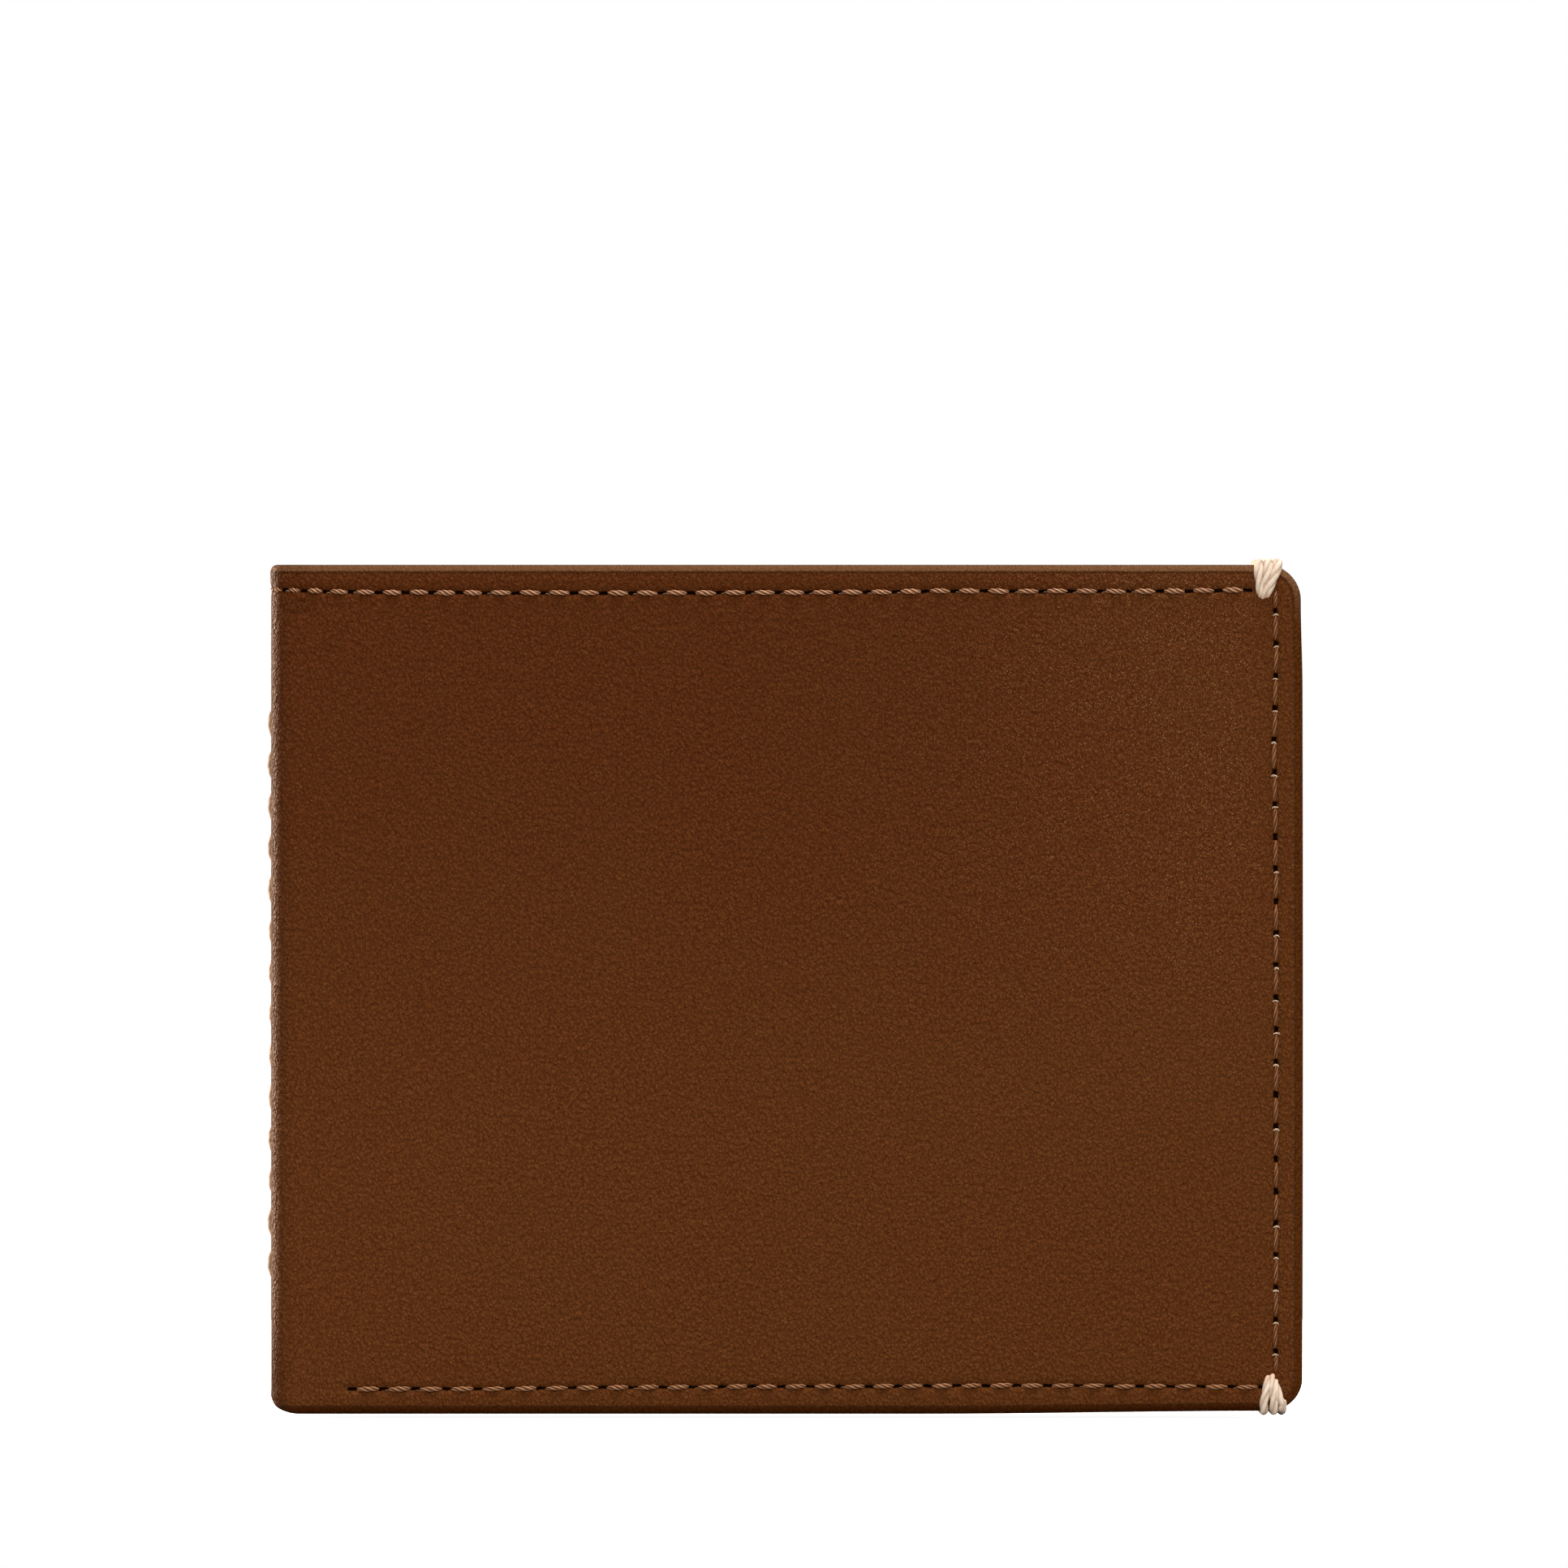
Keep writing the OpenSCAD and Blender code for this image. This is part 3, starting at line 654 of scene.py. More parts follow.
CORNER = {1: ((XF, T2, 44), (-W2, YF, 44)), -1: ((XF, -T2, 44), (-W2, -YF, 44))}


def across_fold(ob, side, start=None, end=None):
    a, b = CORNER[side]
    a, b = start or a, end or b
    a, b = [tuple(q * MM for q in p) for p in (a, b)]
    if side > 0:
        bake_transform(ob)
    else:
        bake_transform(ob)


for side, half in ((1, "back"), (-1, "front")):
    ob = cover_piece(side, f"{half}_cover_leather")
    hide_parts(f"{half}_cover", "spine_cover")
    across_fold(ob, side)


# ---------------------------------------------------------------- threads
def ply_tube(C, N, B, R, plies, turns, phase, seg, ply_id, len_mm, r_ply=0.52, r_off=0.50):
    """Plies twisted round the centre line C. N and B span the section, R is the envelope's radius at each point."""
    n = len(C)
    t = np.linspace(0, 1, n)
    V, F, TX, ED = [], [], [], []
    th = np.linspace(0, 2 * math.pi, seg, endpoint=False)
    base = 0
    for j in range(plies):
        phi = 2 * math.pi * (turns * t + j / plies) + phase
        off = (R * r_off)[:, None] * (np.cos(phi)[:, None] * N + np.sin(phi)[:, None] * B)
        cc = C + off
        rr = R * r_ply
        ring = cc[:, None, :] + rr[:, None, None] * (np.cos(th)[None, :, None] * N[:, None, :] + np.sin(th)[None, :, None] * B[:, None, :])
        V.append(ring.reshape(-1, 3))
        dist = np.linalg.norm(ring - C[:, None, :], axis=-1) / np.maximum(R, 1e-6)[:, None]
        ED.append(np.clip((dist - 0.35) / 0.65, 0, 1).ravel() if plies > 1 else np.ones(n * seg))
        rel = (th[None, :] - phi[:, None])
        TX.append(np.stack([np.repeat(t[:, None] * len_mm, seg, 1), np.cos(rel) * 0.5, np.full((n, seg), ply_id + j * 7.3) + 0.3 * np.sin(rel)], -1).reshape(-1, 3))
        i, k = np.meshgrid(np.arange(n - 1), np.arange(seg), indexing="ij")
        a = base + i * seg + k
        b = base + i * seg + (k + 1) % seg
        F.append(np.stack([a, b, b + seg, a + seg], -1).reshape(-1, 4))
        # caps: fold the first and last ring to quads round a centre point
        V.append(np.stack([cc[0], cc[-1]]))
        TX.append(np.array([[0, 0, ply_id], [len_mm, 0, ply_id]], float))
        ED.append(np.array([0.2, 0.2]))
        c0 = base + n * seg
        for k in range(0, seg, 2):
            F.append(np.array([[c0, base + (k + 2) % seg, base + k + 1, base + k]]))
            q = base + (n - 1) * seg
            F.append(np.array([[c0 + 1, q + k, q + k + 1, q + (k + 2) % seg]]))
        base += n * seg + 2
    return np.concatenate(V), np.concatenate(F), np.concatenate(TX), np.concatenate(ED)


def join(parts):
    V, F, TX, ED, base = [], [], [], [], 0
    for v, f, tx, ed in parts:
        V.append(v); F.append(f + base); TX.append(tx); ED.append(ed)
        base += len(v)
    return np.concatenate(V), np.concatenate(F), np.concatenate(TX), np.concatenate(ED)


def stitch_row(side, holes, axis, fixed, rmax, plies, turns, seed, gap=0.42, n=17, seg=8, sink=0.42, proud=0.20, slant=0.05, mapf=None, end_pow=0.42, ply=(0.52, 0.50), flat_from=999, off=None, rise=None):
    """Stitches between neighbouring holes. axis 's' runs along the leather, 'z' up it."""
    r = np.random.default_rng(seed)
    parts = []
    for k in range(len(holes) - 1):
        a, b = holes[k] + gap, holes[k + 1] - gap
        t = np.linspace(0, 1, n)
        bell = np.sin(math.pi * np.clip(t, 0.0, 1.0)) ** end_pow
        env = rmax * (0.30 + 0.70 * bell) * (1 + r.uniform(-0.07, 0.07))
        pr = proud
        if k >= flat_from:
            env = env * 0.85
            pr = -0.10
        if rise is not None:
            pr = pr + rise[k]
        h = -sink + (sink + pr) * np.sin(math.pi * t) ** 0.62 - 0.02
        along = a + (b - a) * t
        acr = fixed + slant * (t - 0.5) * 2 * (1 + r.uniform(-0.6, 0.6)) + r.uniform(-0.03, 0.03)
        if off is not None:
            acr = acr + off(along)
        if axis == "s":
            C = np.stack([along, acr, h], -1)
            N = np.tile([0, 0, 1.0], (n, 1))
            B = np.tile([0, 1.0, 0], (n, 1))
        else:
            C = np.stack([acr, along, h], -1)
            N = np.tile([0, 0, 1.0], (n, 1))
            B = np.tile([1.0, 0, 0], (n, 1))
        v, f, tx, ed = ply_tube(C, N, B, env, plies, turns * (1 + r.uniform(-0.1, 0.1)), r.uniform(0, 6.28), seg, seed * 31 + k * 2.17, abs(b - a), *ply)
        parts.append((v, f, tx, ed))
    V, F, TX, ED = join(parts)
    P = mapf(V) if mapf else leather_map(side, V[:, 0], V[:, 1], -V[:, 2])
    return P, F, TX, ED


def knots(side, holes, axis, fixed, seed, share=0.5, off=None):
    """The small loops of thread that show beside some holes, where the two threads lock."""
    r = np.random.default_rng(seed)
    parts = []
    for k, hpos in enumerate(holes):
        if r.uniform() > share:
            continue
        n = 11
        t = np.linspace(0, 1, n)
        a = math.pi * (t - 0.5)
        if axis == "z":
            w, up = r.uniform(0.23, 0.32), r.uniform(0.13, 0.22)
            acr = fixed + r.uniform(-0.07, 0.05) - w * np.sin(a)
            along = hpos - 0.36 + r.uniform(-0.05, 0.05) + up * (np.cos(a) - 0.6) + 0.10 * (t - 0.5) * r.uniform(-1, 1)
            h = 0.08 + 0.15 * np.cos(a)
            C = np.stack([acr, along, h], -1)
            env = 0.104 * r.uniform(0.75, 1.1) * (0.45 + 0.55 * np.clip(np.cos(a), 0, 1) ** 0.5)
        else:
            w = r.uniform(0.14, 0.22)
            along = hpos + 0.30 * side + w * np.sin(a)
            acr = fixed - 0.20 + 0.10 * np.cos(a) + r.uniform(-0.04, 0.04)
            h = -0.03 + 0.08 * np.cos(a)
            C = np.stack([along, acr, h], -1)
            env = 0.065 * (0.45 + 0.55 * np.clip(np.cos(a), 0, 1) ** 0.5)
        if off is not None:
            C[:, 0 if axis == "z" else 1] += off(hpos)
        N = np.tile([0, 0, 1.0], (n, 1))
        d = np.gradient(C, axis=0)
        d[:, 2] = 0
        d /= np.maximum(np.linalg.norm(d, axis=1), 1e-6)[:, None]
        B = np.stack([-d[:, 1], d[:, 0], np.zeros(n)], -1)
        parts.append(ply_tube(C, N, B, env, 2, 0.5, r.uniform(0, 6), 6, seed * 17 + k * 1.3, 2 * w))
    V, F, TX, ED = join(parts)
    return leather_map(side, V[:, 0], V[:, 1], -V[:, 2]), F, TX, ED


for side, half in ((1, "back"), (-1, "front")):
    body = f"{half}_half"
    top = [top_s(k) for k in range(TOP_N + 1)]
    P, F, TX, ED = stitch_row(side, top, "s", TOP_Z, 0.268, 3, -1.0 * side, 11 + side, gap=0.36, end_pow=0.74, proud=0.15, flat_from=33, off=top_dz)
    K = knots(side, top[1:-1], "s", TOP_Z, 41 + side, off=top_dz)
    F2 = K[1] + len(P)
    ob = build(f"{half}_top_edge_stitches", np.concatenate([P, K[0]]), np.concatenate([F, F2]), np.concatenate([TX, K[2]]), np.concatenate([ED, K[3]]), mat=THREAD)
    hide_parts(f"{half}_top_stitching", "spine_top_stitching")
    across_fold(ob, side)

    fore = [FORE_Z0 - FORE_P + 0.75] + [FORE_Z0 + k * FORE_P for k in range(FORE_N + 1)] + [FORE_Z0 + (FORE_N + 1) * FORE_P - 0.8]
    P, F, TX, ED = stitch_row(side, fore, "z", FORE_S, 0.225, 3, 0.80 * side, 21 + side, gap=0.30, proud=0.06, slant=-0.06, sink=0.38, off=fore_ds)
    ob = build(f"{half}_fore_edge_stitches", P, F, TX, ED, mat=THREAD_DARK)
    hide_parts(f"{half}_fore_edge_stitching")
    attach(ob, body)
    ob = build(f"{half}_fore_edge_loops", *knots(side, fore[1:-1], "z", FORE_S, 51 + side, 0.82, off=fore_ds), mat=THREAD_PALE)
    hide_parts(f"{half}_fore_edge_stitching")
    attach(ob, body)

    bot = [bot_s(k) for k in range(BOT_N + 1)]
    P, F, TX, ED = stitch_row(side, bot, "s", BOT_Z, 0.255, 3, -1.0 * side, 31 + side, gap=0.36, slant=-0.04, end_pow=0.74, proud=0.14, off=bot_dz)
    K = knots(side, bot[1:-1], "s", BOT_Z, 61 + side, off=bot_dz)
    F2 = K[1] + len(P)
    ob = build(f"{half}_bottom_edge_stitches", np.concatenate([P, K[0]]), np.concatenate([F, F2]), np.concatenate([TX, K[2]]), np.concatenate([ED, K[3]]), mat=THREAD_LOW)
    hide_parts(f"{half}_bottom_stitching")
    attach(ob, body)

# the stitch of the top line that crosses the middle of the spine
mid = [top_s(TOP_N), 2 * S3 - top_s(TOP_N)]


def over_middle(V):
    s = V[:, 0]
    P = leather_map(1, np.where(s > S3, 2 * S3 - s, s), V[:, 1], -V[:, 2])
    P[:, 1] = np.where(s > S3, -P[:, 1], P[:, 1])
    return P


P, F, TX, ED = stitch_row(1, mid, "s", TOP_Z, 0.268, 3, -1.0, 77, mapf=over_middle, end_pow=0.74, proud=-0.10, off=top_dz)
ob = build("spine_top_middle_stitch", P, F, TX, ED, mat=THREAD)
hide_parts("spine_top_stitching")
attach(ob, "spine")

# thick tan thread down the spine
SP_RISE = (0.02, -0.02, -0.08, -0.04, -0.10, -0.13, -0.12, -0.13, -0.11, -0.06, -0.02, 0.0, 0.0, 0.0)
sp = [SP_Z0 + (k - 0.5) * SP_P for k in range(SP_N + 1)]
P, F, TX, ED = stitch_row(1, sp, "z", S3, 0.55, 3, 1.3, 91, gap=0.16, n=37, seg=16, sink=0.60, proud=-0.05, slant=0.02, mapf=over_middle, end_pow=0.50, ply=(0.86, 0.15), rise=SP_RISE)
ob = build("spine_thick_stitches", P, F, TX, ED, mat=CORD_TAN)
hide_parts("spine_stitching")
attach(ob, "spine")


# ---------------------------------------------------------------- corner tacks
def smooth_path(pts, n):
    """Catmull-Rom through pts, evenly spaced."""
    p = np.asarray(pts, float)
    p = np.vstack([2 * p[0] - p[1], p, 2 * p[-1] - p[-2]])
    out = []
    for i in range(1, len(p) - 2):
        t = np.linspace(0, 1, 24, endpoint=False)[:, None]
        a, b, c, d = p[i - 1], p[i], p[i + 1], p[i + 2]
        out.append(0.5 * ((2 * b) + (-a + c) * t + (2 * a - 5 * b + 4 * c - d) * t ** 2 + (-a + 3 * b - 3 * c + d) * t ** 3))
    out = np.vstack(out + [p[-2][None]])
    L = np.concatenate([[0], np.cumsum(np.linalg.norm(np.diff(out, axis=0), axis=1))])
    q = np.linspace(0, L[-1], n)
    return np.stack([np.interp(q, L, out[:, k]) for k in range(3)], -1), L[-1]


def frames(P):
    T = np.gradient(P, axis=0)
    T /= np.linalg.norm(T, axis=1)[:, None]
    N = np.zeros_like(P)
    ref = np.array([1.0, 0, 0])
    for i in range(len(P)):
        n = ref - T[i] * (ref @ T[i])
        N[i] = n / np.linalg.norm(n)
        ref = N[i]
    return N, np.cross(T, N)


def tack(side, name, strands, nodes, body, seed):
    r = np.random.default_rng(seed)
    parts = []
    for k, (pts, rad) in enumerate(strands):
        C, L = smooth_path([(x, side * (T2 - d), z) for x, z, d in pts], 64)
        N, B = frames(C)
        q = np.linspace(0, 1, 64)
        R = np.interp(q, np.linspace(0, 1, len(rad)), rad)
        parts.append(ply_tube(C, N, B, R, 3, L * 0.20, r.uniform(0, 6.28), 12, seed * 13 + k * 5.1, L, 0.64, 0.37))
    V, F, TX, ED = join(parts)
    ob = build(name, V, F, TX, ED, mat=CORD)
    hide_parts(*nodes)
    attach(ob, body)
    return ob


def inner_depth(x, z, d):
    return float(T2 - half_map(1, x, z, d)[1])


for side, half in ((1, "back"), (-1, "front")):
    body = f"{half}_half"
    tx0 = 49.85
    st = []
    for i, (xt, xb) in enumerate(((49.42, 49.62), (50.45, 49.98), (51.42, 50.42))):
        zb = 85.95 if i != 1 else 85.75
        pts = [(xb, zb - 0.25, 0.75), (xb, zb, 0.10), (xb + (xt - xb) * 0.30, zb + 0.9, -0.10), (xb + (xt - xb) * 0.75, zb + 2.1, -0.12), (xt, 88.75, 0.02),
               (xt + 0.02, 89.12, 0.45), (xt, 89.14, 1.15), (xt, 88.8, 1.95), (xt, 88.1, 2.3), (xb + 0.1, 86.6, 2.33), (xb, 85.9, 2.25)]
        st.append((pts, [0.30, 0.42, 0.47, 0.52, 0.53, 0.54, 0.54, 0.52, 0.46, 0.42, 0.36]))
    tack(side, f"{half}_top_corner_tack", st, [f"{half}_top_tack"], body, 5 + side)
    st = []
    din = inner_depth(50.9, 2.0, 8.6)
    for i, (xt, xb, zt, zb) in enumerate(((50.44, 50.00, 3.72, 0.42), (50.84, 51.06, 3.90, 0.44), (51.20, 51.92, 3.30, 0.70))):
        pts = [(xt, zt + 0.2, 0.75), (xt, zt, 0.12), (xt + (xb - xt) * 0.35, zt - 0.95, -0.14), (xt + (xb - xt) * 0.8, zt - 2.0, -0.18), (xb, zb + 0.55, -0.10), (xb, zb, 0.22), (xb, zb - 0.04, 1.0),
               (xb, 0.30, din * 0.5), (xb, 0.24, din - 0.6), (xb, 0.50, din - 0.02), (xb + (xt - xb) * 0.5, 2.1, din + 0.02), (xt, zt - 0.2, din - 0.1)]
        st.append((pts, [0.34, 0.42, 0.46, 0.48, 0.50, 0.49, 0.46, 0.42, 0.44, 0.44, 0.42, 0.36]))
    tack(side, f"{half}_bottom_corner_tack", st, [f"{half}_bottom_tack"], body, 15 + side)


# ---------------------------------------------------------------- inner layers
def panel_arrays(side, d0, d1, x0, x1, z0, z1, r=0.0, rb=None, step=1.0, crease=None, round_r=None, seed=0, swell=0.0):
    """A closed sheet with rounded edges. r rounds its two corners at the fore edge, and rb the lower one if it differs."""
    th = d1 - d0
    rr = min(th * 0.49, 0.35) if round_r is None else round_r
    xs = lines(x0, x1, step)
    zs = lines(z0, z1, step, [(crease, 0.6, 0.15)] if crease else [])
    if rb:
        xs = np.unique(np.round(np.concatenate([xs[xs < x1 - rb - 0.2], x1 - rb + rb * np.linspace(0, 1, 15)]), 4))
        zs = np.unique(np.round(np.concatenate([zs[zs > z0 + rb + 0.2], z0 + rb * np.linspace(0, 1, 15)]), 4))
    X, Z = np.meshgrid(xs, zs, indexing="ij")
    sx = x1 - X
    up = Z > (z0 + z1) / 2
    ez = np.where(up, z1 - Z, Z - z0)
    rc = np.where(up, r, r if rb is None else rb)
    if rc.max() > 0:
        s2, e2, e = round_corners(sx, ez, np.maximum(rc, 0.02))
    else:
        s2, e2, e = sx, ez, np.minimum(sx, ez)
    X = x1 - s2
    Z = np.where(up, z1 - e2, z0 + e2)
    e = np.minimum(e, X - x0)
    q = np.clip(1 - e / rr, 0, 1)
    dep = rr * (1 - np.sqrt(np.clip(1 - q * q, 0, 1)))
    und = swell * (np.sin(X * 0.12 + seed) * np.sin(Z * 0.15 + 2 * seed) * 0.5 + 0.5) * sstep(2, 12, e)
    a = d0 + dep
    b = d1 - dep - und
    if crease:
        g = 0.07 * np.exp(-((Z - crease) / 0.16) ** 2)
        b = b - g
    a = np.minimum(a, (d0 + d1) / 2 - 0.01)
    b = np.maximum(b, a + 0.02)
    A = half_map(side, X, Z, a)
    Bq = half_map(side, X, Z, b)
    V = np.concatenate([A.reshape(-1, 3), Bq.reshape(-1, 3)])
    off = seed * 37.0 + (0 if side > 0 else 500)
    TX = np.concatenate([np.stack([X + off, Z, a * 0], -1).reshape(-1, 3), np.stack([X + off + 200, Z, a * 0], -1).reshape(-1, 3)])
    ED = np.concatenate([e.ravel(), e.ravel()])
    return V, shell_faces(*X.shape), TX, ED


def panel(side, half, node, name, mat, slot_name, **kw):
    d0, d1, x0, x1, z0, z1 = layer(f"back_{node}")
    V, F, TX, ED = panel_arrays(side, d0, d1, x0, x1, z0, z1, **kw)
    ob = build(name, V, F, TX, ED, mat=mat)
    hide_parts(f"{half}_{node}")
    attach(ob, f"{half}_half")
    return ob


def sheet(side, path, dthick, z0, z1, name, mat, nodes, start, end, tex_s, top_round=0.12, r_top=0.0, r_bot=3.4):
    """A lining sheet along a path of (x, y, nx, ny) with thickness along the inward normal, from z0 to z1."""
    fz = np.linspace(0, 3.6, 13)
    zs = lines(z0, z1, 1.2)
    zs = np.unique(np.round(np.concatenate([z0 + fz, zs[(zs > z0 + 3.7) & (zs < z1 - 3.7)], z1 - fz]), 4))
    n, m = len(path), len(zs)
    P = np.repeat(path[:, None, :], m, 1).copy()
    Zg = np.repeat(zs[None, :], n, 0)
    ez = np.minimum(Zg - z0, z1 - Zg)
    x1_ = path[0, 0]
    sx_ = x1_ - P[..., 0]
    upg = Zg > (z0 + z1) / 2
    rc = np.where(upg, r_top, r_bot)
    s2_, e2_, ee = round_corners(sx_, ez, np.maximum(rc, 0.02))
    P[..., 0] = np.where(sx_ < 4.0, x1_ - s2_, P[..., 0])
    Zg = np.where(sx_ < 4.0, np.where(upg, z1 - e2_, z0 + e2_), Zg)
    ez = np.where(sx_ < 4.0, ee, ez)
    q = np.clip(1 - ez / top_round, 0, 1)
    dep = top_round * (1 - np.sqrt(np.clip(1 - q * q, 0, 1)))
    def surf(off):
        x = P[..., 0] + P[..., 2] * off
        y = P[..., 1] + P[..., 3] * off
        return np.stack([x, side * y, Zg], -1)
    A, Bq = surf(dep), surf(dthick - dep)
    V = np.concatenate([A.reshape(-1, 3), Bq.reshape(-1, 3)])
    TXg = np.stack([np.repeat(tex_s[:, None], m, 1) + (0 if side > 0 else 400), Zg, 0 * Zg], -1).reshape(-1, 3)
    TX = np.concatenate([TXg, TXg])
    ED = np.concatenate([ez.ravel(), ez.ravel()])
    ob = build(name, V, shell_faces(n, m), TX, ED, mat=mat)
    for nd in nodes:
        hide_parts(nd)
    across_fold(ob, side, start, end)
    return ob


def with_normals(pts):
    p = np.asarray(pts, float)
    d = np.gradient(p, axis=0)
    d /= np.linalg.norm(d, axis=1)[:, None]
    nrm = np.stack([-d[:, 1], d[:, 0]], -1)     # to the left of travel
    return np.concatenate([p, nrm], 1)


def lining_path(d, spine_x, xend, rad):
    """From the fore edge along depth d, round a corner of radius rad, down the spine at x = spine_x, to its middle."""
    y = T2 - d
    xs = np.concatenate([xend - np.linspace(0, 3.6, 13), np.linspace(xend - 4.2, spine_x + rad, 70)])
    pts = [(x, y) for x in xs]
    for a in np.linspace(0, math.pi / 2, 13)[1:]:
        pts.append((spine_x + rad - rad * math.sin(a), y - rad + rad * math.cos(a)))
    for q in np.linspace(y - rad, 0, 14)[1:]:
        pts.append((spine_x, q))
    return np.asarray(pts)


for side, half in ((1, "back"), (-1, "front")):
    # lining on the cover's side of the bill compartment
    d0, d1, x0, x1, z0, z1 = layer("back_cover_lining")
    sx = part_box("spine_lining")[0].x * 1000
    pts = lining_path(d0, sx + 0.05, x1, 0.95)
    path = with_normals(pts)
    path[:, 2:] = path[:, 2:]
    L = np.concatenate([[0], np.cumsum(np.linalg.norm(np.diff(pts, axis=0), axis=1))])
    sheet(side, path, 0.28, z0, z1, f"{half}_bill_compartment_lining", LINING, [f"{half}_cover_lining", "spine_lining"],
          (sx + 1.3, side * (T2 - d0), 44), (sx, side * (T2 - d0 - 1.3), 44), L, r_top=3.3)
    # inner wall of the bill compartment, which crosses the spine behind the pockets
    d0, d1, x0, x1, z0, z1 = layer("back_bill_lining")
    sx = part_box("spine_inner_lining")[0].x * 1000
    pts = lining_path(d0, sx + 0.1, x1 - 0.1, 3.0)
    path = with_normals(pts)
    yy = half_map(1, np.clip(pts[:, 0], X0, X1), 40.0, d0)[:, 1]
    flat = pts[:, 1] > T2 - d0 - 0.01
    path[:, 1] = np.where(flat, yy, path[:, 1] + (yy[-1] - (T2 - d0)) * np.clip((pts[:, 1] - 1) / 3, 0, 1))
    k = np.searchsorted(-pts[:, 0], -(sx + 3.1))
    L = np.concatenate([[0], np.cumsum(np.linalg.norm(np.diff(pts, axis=0), axis=1) * np.where((np.arange(len(pts) - 1) >= k) & (np.arange(len(pts) - 1) < k + 13), 2.2, 1.0))])
    sheet(side, path, 0.28, z0, z1, f"{half}_bill_compartment_inner_wall", LINING, [f"{half}_bill_lining", "spine_inner_lining"],
          (sx + 3.1, side * (T2 - d0), 44), (sx, side * (T2 - d0 - 3.0), 44), L)
    panel(side, half, "pocket_base", f"{half}_pocket_panel", POCKET, "pocket_leather", r=0.9, rb=3.4, step=0.9, crease=ZP - 1.7, seed=1, swell=0.03)
    for k in (1, 2, 3):
        zt = layer(f"back_card_pocket_{k}")[5]
        panel(side, half, f"card_pocket_{k}", f"{half}_card_pocket_facing_{k}", POCKET, "pocket_leather", r=0.6, rb=3.4 if k == 3 else None, step=0.9, crease=zt - 1.6, seed=1 + k, swell=0.05)
    # the same seams on the inside: through the pocket mouths' steps, the lowest pocket and the cover lining
    tops = [layer(f"back_card_pocket_{k}")[5] for k in (1, 2, 3)]
    deps = [layer("back_pocket_base")[1]] + [layer(f"back_card_pocket_{k}")[1] for k in (1, 2, 3)]

    def on_pockets(V):
        x, z = W2 - V[:, 0], V[:, 1]
        d = deps[0] + 0 * z
        for k in range(3):
            d = d + (deps[k + 1] - deps[k]) * (1 - sstep(tops[k] - 0.25, tops[k] + 0.35, z))
        return half_map(side, x, z, d + V[:, 2] - 0.02)

    def on_lining(V):
        return half_map(side, W2 - V[:, 0], V[:, 1], 1.90 + V[:, 2])

    zin = [q for q in fore if q < ZP - 1.0]
    sin_ = [q for q in bot if q < W2 - X0 - 1.2 and q > 4.5]
    rows = [stitch_row(side, zin, "z", FORE_S, 0.215, 3, -0.80 * side, 121 + side, gap=0.30, proud=0.03, slant=0.04, sink=0.40, mapf=on_pockets),
            stitch_row(side, sin_, "s", BOT_Z, 0.225, 3, 0.85 * side, 131 + side, gap=0.36, proud=0.03, slant=0.03, sink=0.40, end_pow=0.62, mapf=on_pockets, off=bot_dz),
            stitch_row(side, [top_s(k) for k in range(34)], "s", TOP_Z, 0.215, 3, 0.85 * side, 141 + side, gap=0.40, proud=0.00, slant=0.04, sink=0.40, end_pow=0.62, mapf=on_lining, off=top_dz)]
    for (P, F, TX, ED), nm, nd_ in zip(rows, ("fore_edge_inner_stitches", "bottom_edge_inner_stitches", "top_edge_inner_stitches"), ("fore_edge_stitching", "bottom_stitching", "top_stitching")):
        ob = build(f"{half}_{nm}", P, F, TX, ED, mat=THREAD_DARK)
        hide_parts(f"{half}_{nd_}")
        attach(ob, f"{half}_half")
    # folded margins, one strip in every gap of the sewn edges
    strips = []
    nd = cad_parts["back_seam_margins"]
    me = nd.data
    co = np.array([v.co for v in me.vertices], float) * 1000
    parent = list(range(len(co)))

    def find(a):
        while parent[a] != a:
            parent[a] = parent[parent[a]]
            a = parent[a]
        return a

    for ed_ in me.edges:
        a, b = find(ed_.vertices[0]), find(ed_.vertices[1])
        if a != b:
            parent[a] = b
    # corners that share a place belong together even if the mesh keeps them apart
    seen = {}
    for i, p in enumerate(np.round(co, 3)):
        key = tuple(p)
        if key in seen:
            a, b = find(seen[key]), find(i)
            if a != b:
                parent[a] = b
        else:
            seen[key] = i
    groups = {}
    for i in range(len(co)):
        groups.setdefault(find(i), []).append(i)
    boxes = []
    for g in groups.values():
        a, b = co[g].min(0), co[g].max(0)
        boxes.append((T2 - b[1], T2 - a[1], a[0], b[0], a[2], b[2]))
    for n_, (d0, d1, x0, x1, z0, z1) in enumerate(sorted(boxes)):
        tall = z1 - z0 > 20 and x1 > 40
        strips.append(panel_arrays(side, d0 + 0.02, d1 - 0.02, x0 + 0.02, x1 - 0.12, z0 + 0.04, z1 - 0.05, rb=3.4 if tall else None, step=2.0, round_r=0.28, seed=n_ % 5))
    V, F, TX, ED = join(strips)
    ob = build(f"{half}_folded_seam_margins", V, F, TX, ED, mat=MARGIN)
    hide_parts(f"{half}_seam_margins")
    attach(ob, f"{half}_half")
    # the stiffening board keeps its CAD shape, and gets its own material
    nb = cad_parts[f"{half}_reinforcement"]
    for sl_ in nb.material_slots:
        sl_.material = BOARD


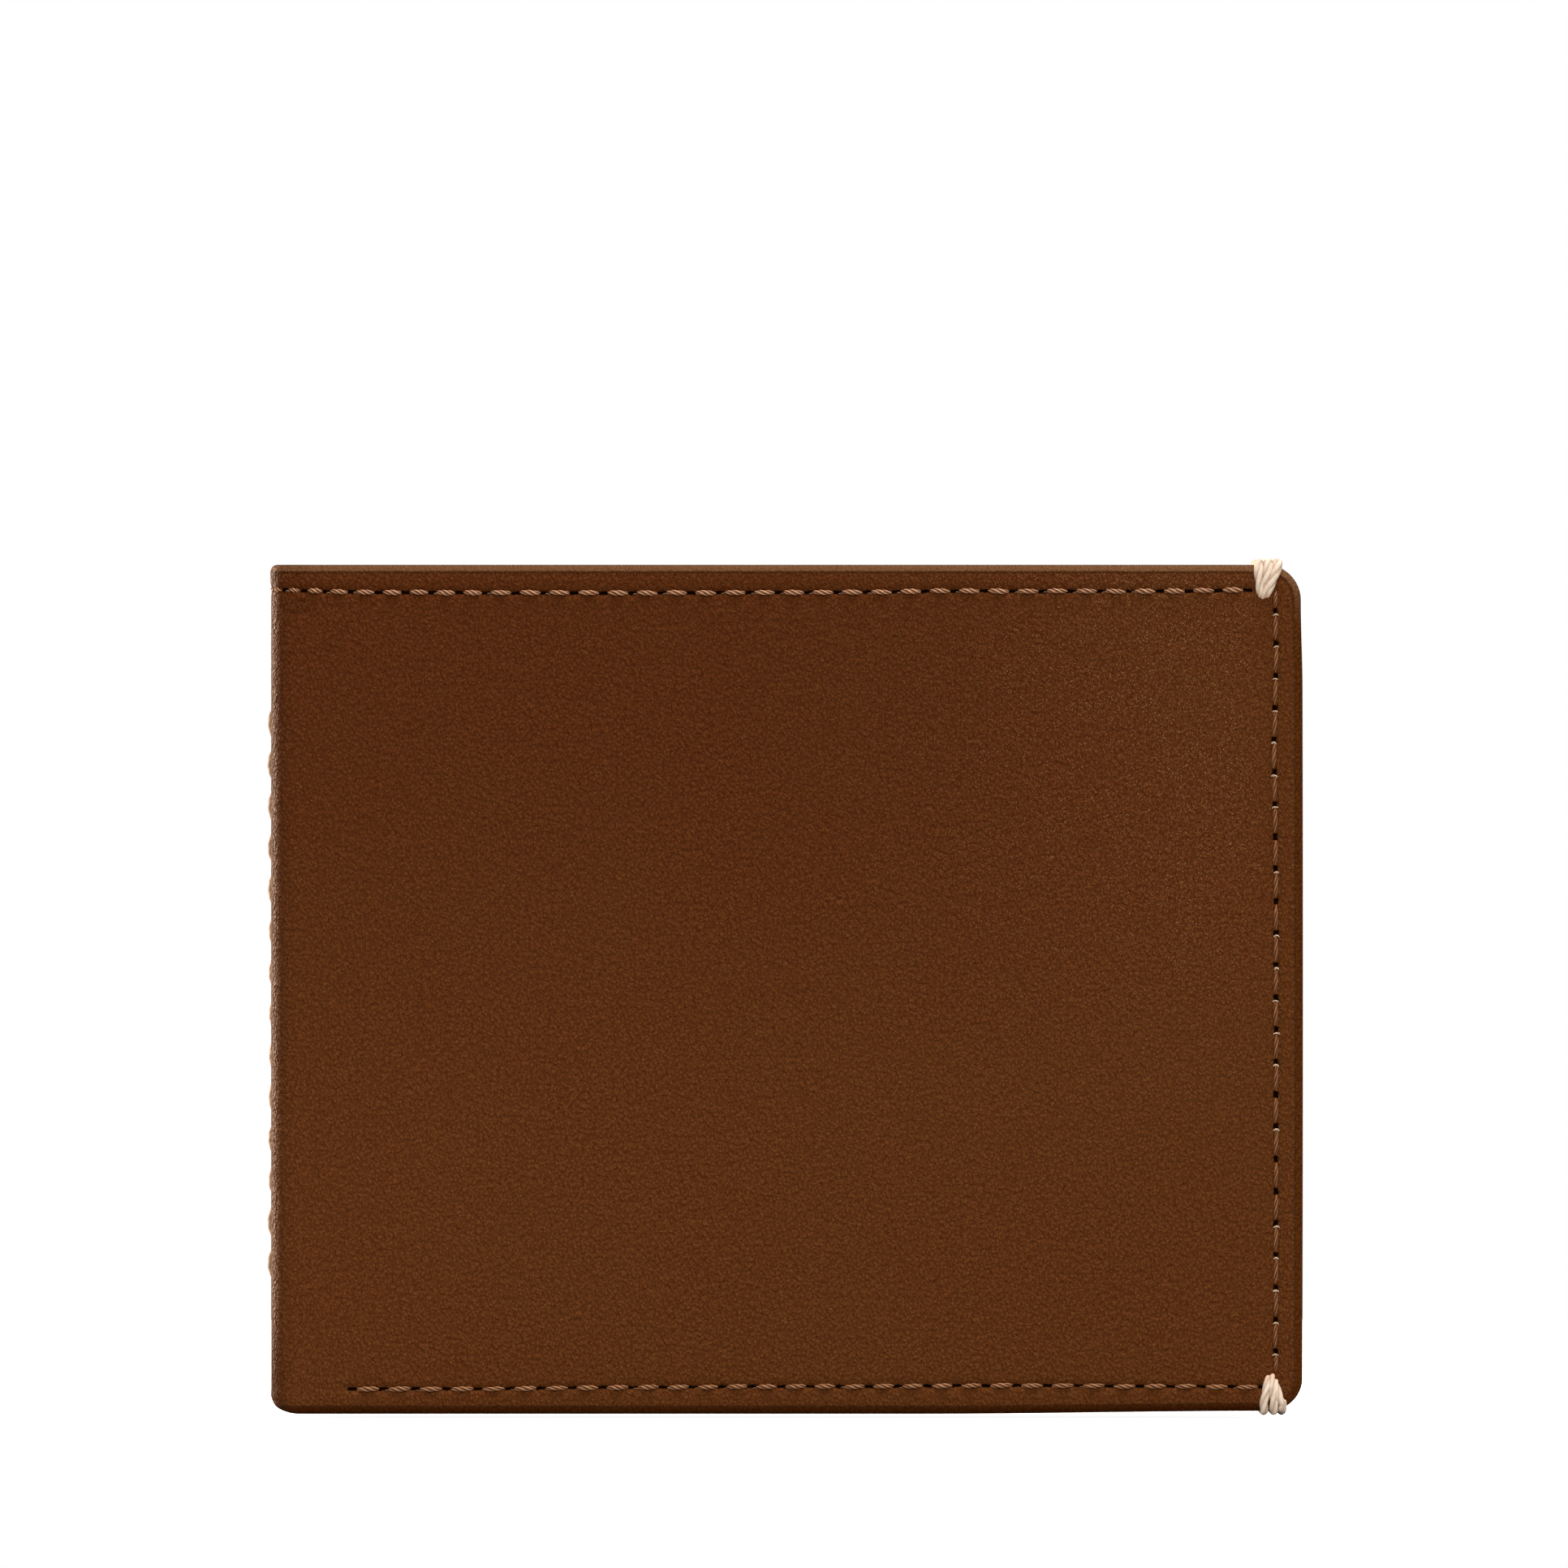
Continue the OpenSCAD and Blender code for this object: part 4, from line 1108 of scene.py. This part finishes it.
# ---------------------------------------------------------------- stage, light and camera
def floor_mat():
    """Pale floor. It glows a little to the camera, so that it reads white up to its edge, and throws little light back."""
    M = Mat("floor_pale")
    lp = M.add("ShaderNodeLightPath")
    n = M.noise((M.add("ShaderNodeTexCoord"), 3), 60.0, 2, 0.5)
    pale = M.mix(M.math("MULTIPLY", n, 0.02), (0.93, 0.93, 0.93), (0.90, 0.90, 0.90))
    M.put(M.b, "Base Color", M.mix((lp, "Is Camera Ray"), (0.50, 0.50, 0.50), pale))
    M.put(M.b, "Roughness", 0.95)
    M.put(M.b, "Specular IOR Level", 0.05)
    M.put(M.b, "Emission Color", (1, 1, 1, 1))
    # painted shadow: the floor's glow is taken away in narrow closed-in places seen from above, such as under and
    # between the halves, so that they read dark
    ao = M.add("ShaderNodeAmbientOcclusion", samples=8)
    ao.inputs["Distance"].default_value = 0.012
    steep = M.ramp(M.xyz((M.add("ShaderNodeNewGeometry"), "Incoming"))[2], 0.030, 0.046)
    gap_shadow = M.math("MULTIPLY", M.ramp((ao, "AO"), 0.47, 0.24), steep)
    glow = M.math("MULTIPLY", (lp, "Is Camera Ray"), M.math("SUBTRACT", 1.0, gap_shadow))
    M.put(M.b, "Emission Strength", M.math("MULTIPLY", glow, 0.93))
    return M.m


bm = bmesh.new()
bmesh.ops.create_circle(bm, cap_ends=True, segments=96, radius=0.55)
fm = bpy.data.meshes.new("studio_floor")
bm.to_mesh(fm)
bm.free()
floor = bpy.data.objects.new("studio_floor", fm)
floor.location = (0, 0, -0.00048)
fm.materials.append(floor_mat())
bpy.context.scene.collection.objects.link(floor)
floor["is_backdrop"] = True

world = bpy.data.worlds.new("studio")
bpy.context.scene.world = world
world.use_nodes = True
nt = world.node_tree
nt.nodes.clear()
wo = nt.nodes.new("ShaderNodeOutputWorld")
mixs = nt.nodes.new("ShaderNodeMixShader")
lp = nt.nodes.new("ShaderNodeLightPath")
bg1 = nt.nodes.new("ShaderNodeBackground")
bg2 = nt.nodes.new("ShaderNodeBackground")
bg1.inputs[0].default_value = (1.0, 1.0, 1.0, 1)
bg1.inputs[1].default_value = 0.12
bg2.inputs[0].default_value = (1, 1, 1, 1)
bg2.inputs[1].default_value = 1.0
nt.links.new(lp.outputs["Is Camera Ray"], mixs.inputs[0])
nt.links.new(bg1.outputs[0], mixs.inputs[1])
nt.links.new(bg2.outputs[0], mixs.inputs[2])
nt.links.new(mixs.outputs[0], wo.inputs[0])


def area(name, loc, size, power, target=(0, 0, 0.045), color=(1, 1, 1), size_y=None):
    ld = bpy.data.lights.new(name, "AREA")
    ld.energy = power
    ld.color = color
    ld.shape = "RECTANGLE"
    ld.size = size
    ld.size_y = size_y or size
    ob = bpy.data.objects.new(name, ld)
    ob.location = loc
    from mathutils import Vector
    d = Vector(target) - Vector(loc)
    ob.rotation_euler = d.to_track_quat("-Z", "Y").to_euler()
    bpy.context.scene.collection.objects.link(ob)
    return ob


area("light_top", (0.25, -0.45, 1.90), 0.9, 44.0)
area("light_front_high", (0.12, -1.60, 1.05), 0.8, 24.0)
area("light_left_behind", (-0.80, 0.62, 0.20), 0.45, 26.0, color=(1.0, 0.79, 0.60))
area("light_back", (0.45, 0.95, 0.80), 0.6, 5.0)

cam = bpy.data.cameras.new("camera")
cam.sensor_width = 36.0
DIST = 3.0
cam.lens = 36.0 * DIST / 0.1643
cam.clip_end = 20
cam.clip_start = 0.05
co_ = bpy.data.objects.new("camera", cam)
co_.location = (-0.00028, -T2 * MM - DIST, 0.06602)
co_.rotation_euler = (math.pi / 2, 0, 0)
bpy.context.scene.collection.objects.link(co_)
bpy.context.scene.camera = co_
bpy.context.scene.view_settings.view_transform = "Standard"
bpy.context.scene.view_settings.look = "None"

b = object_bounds()
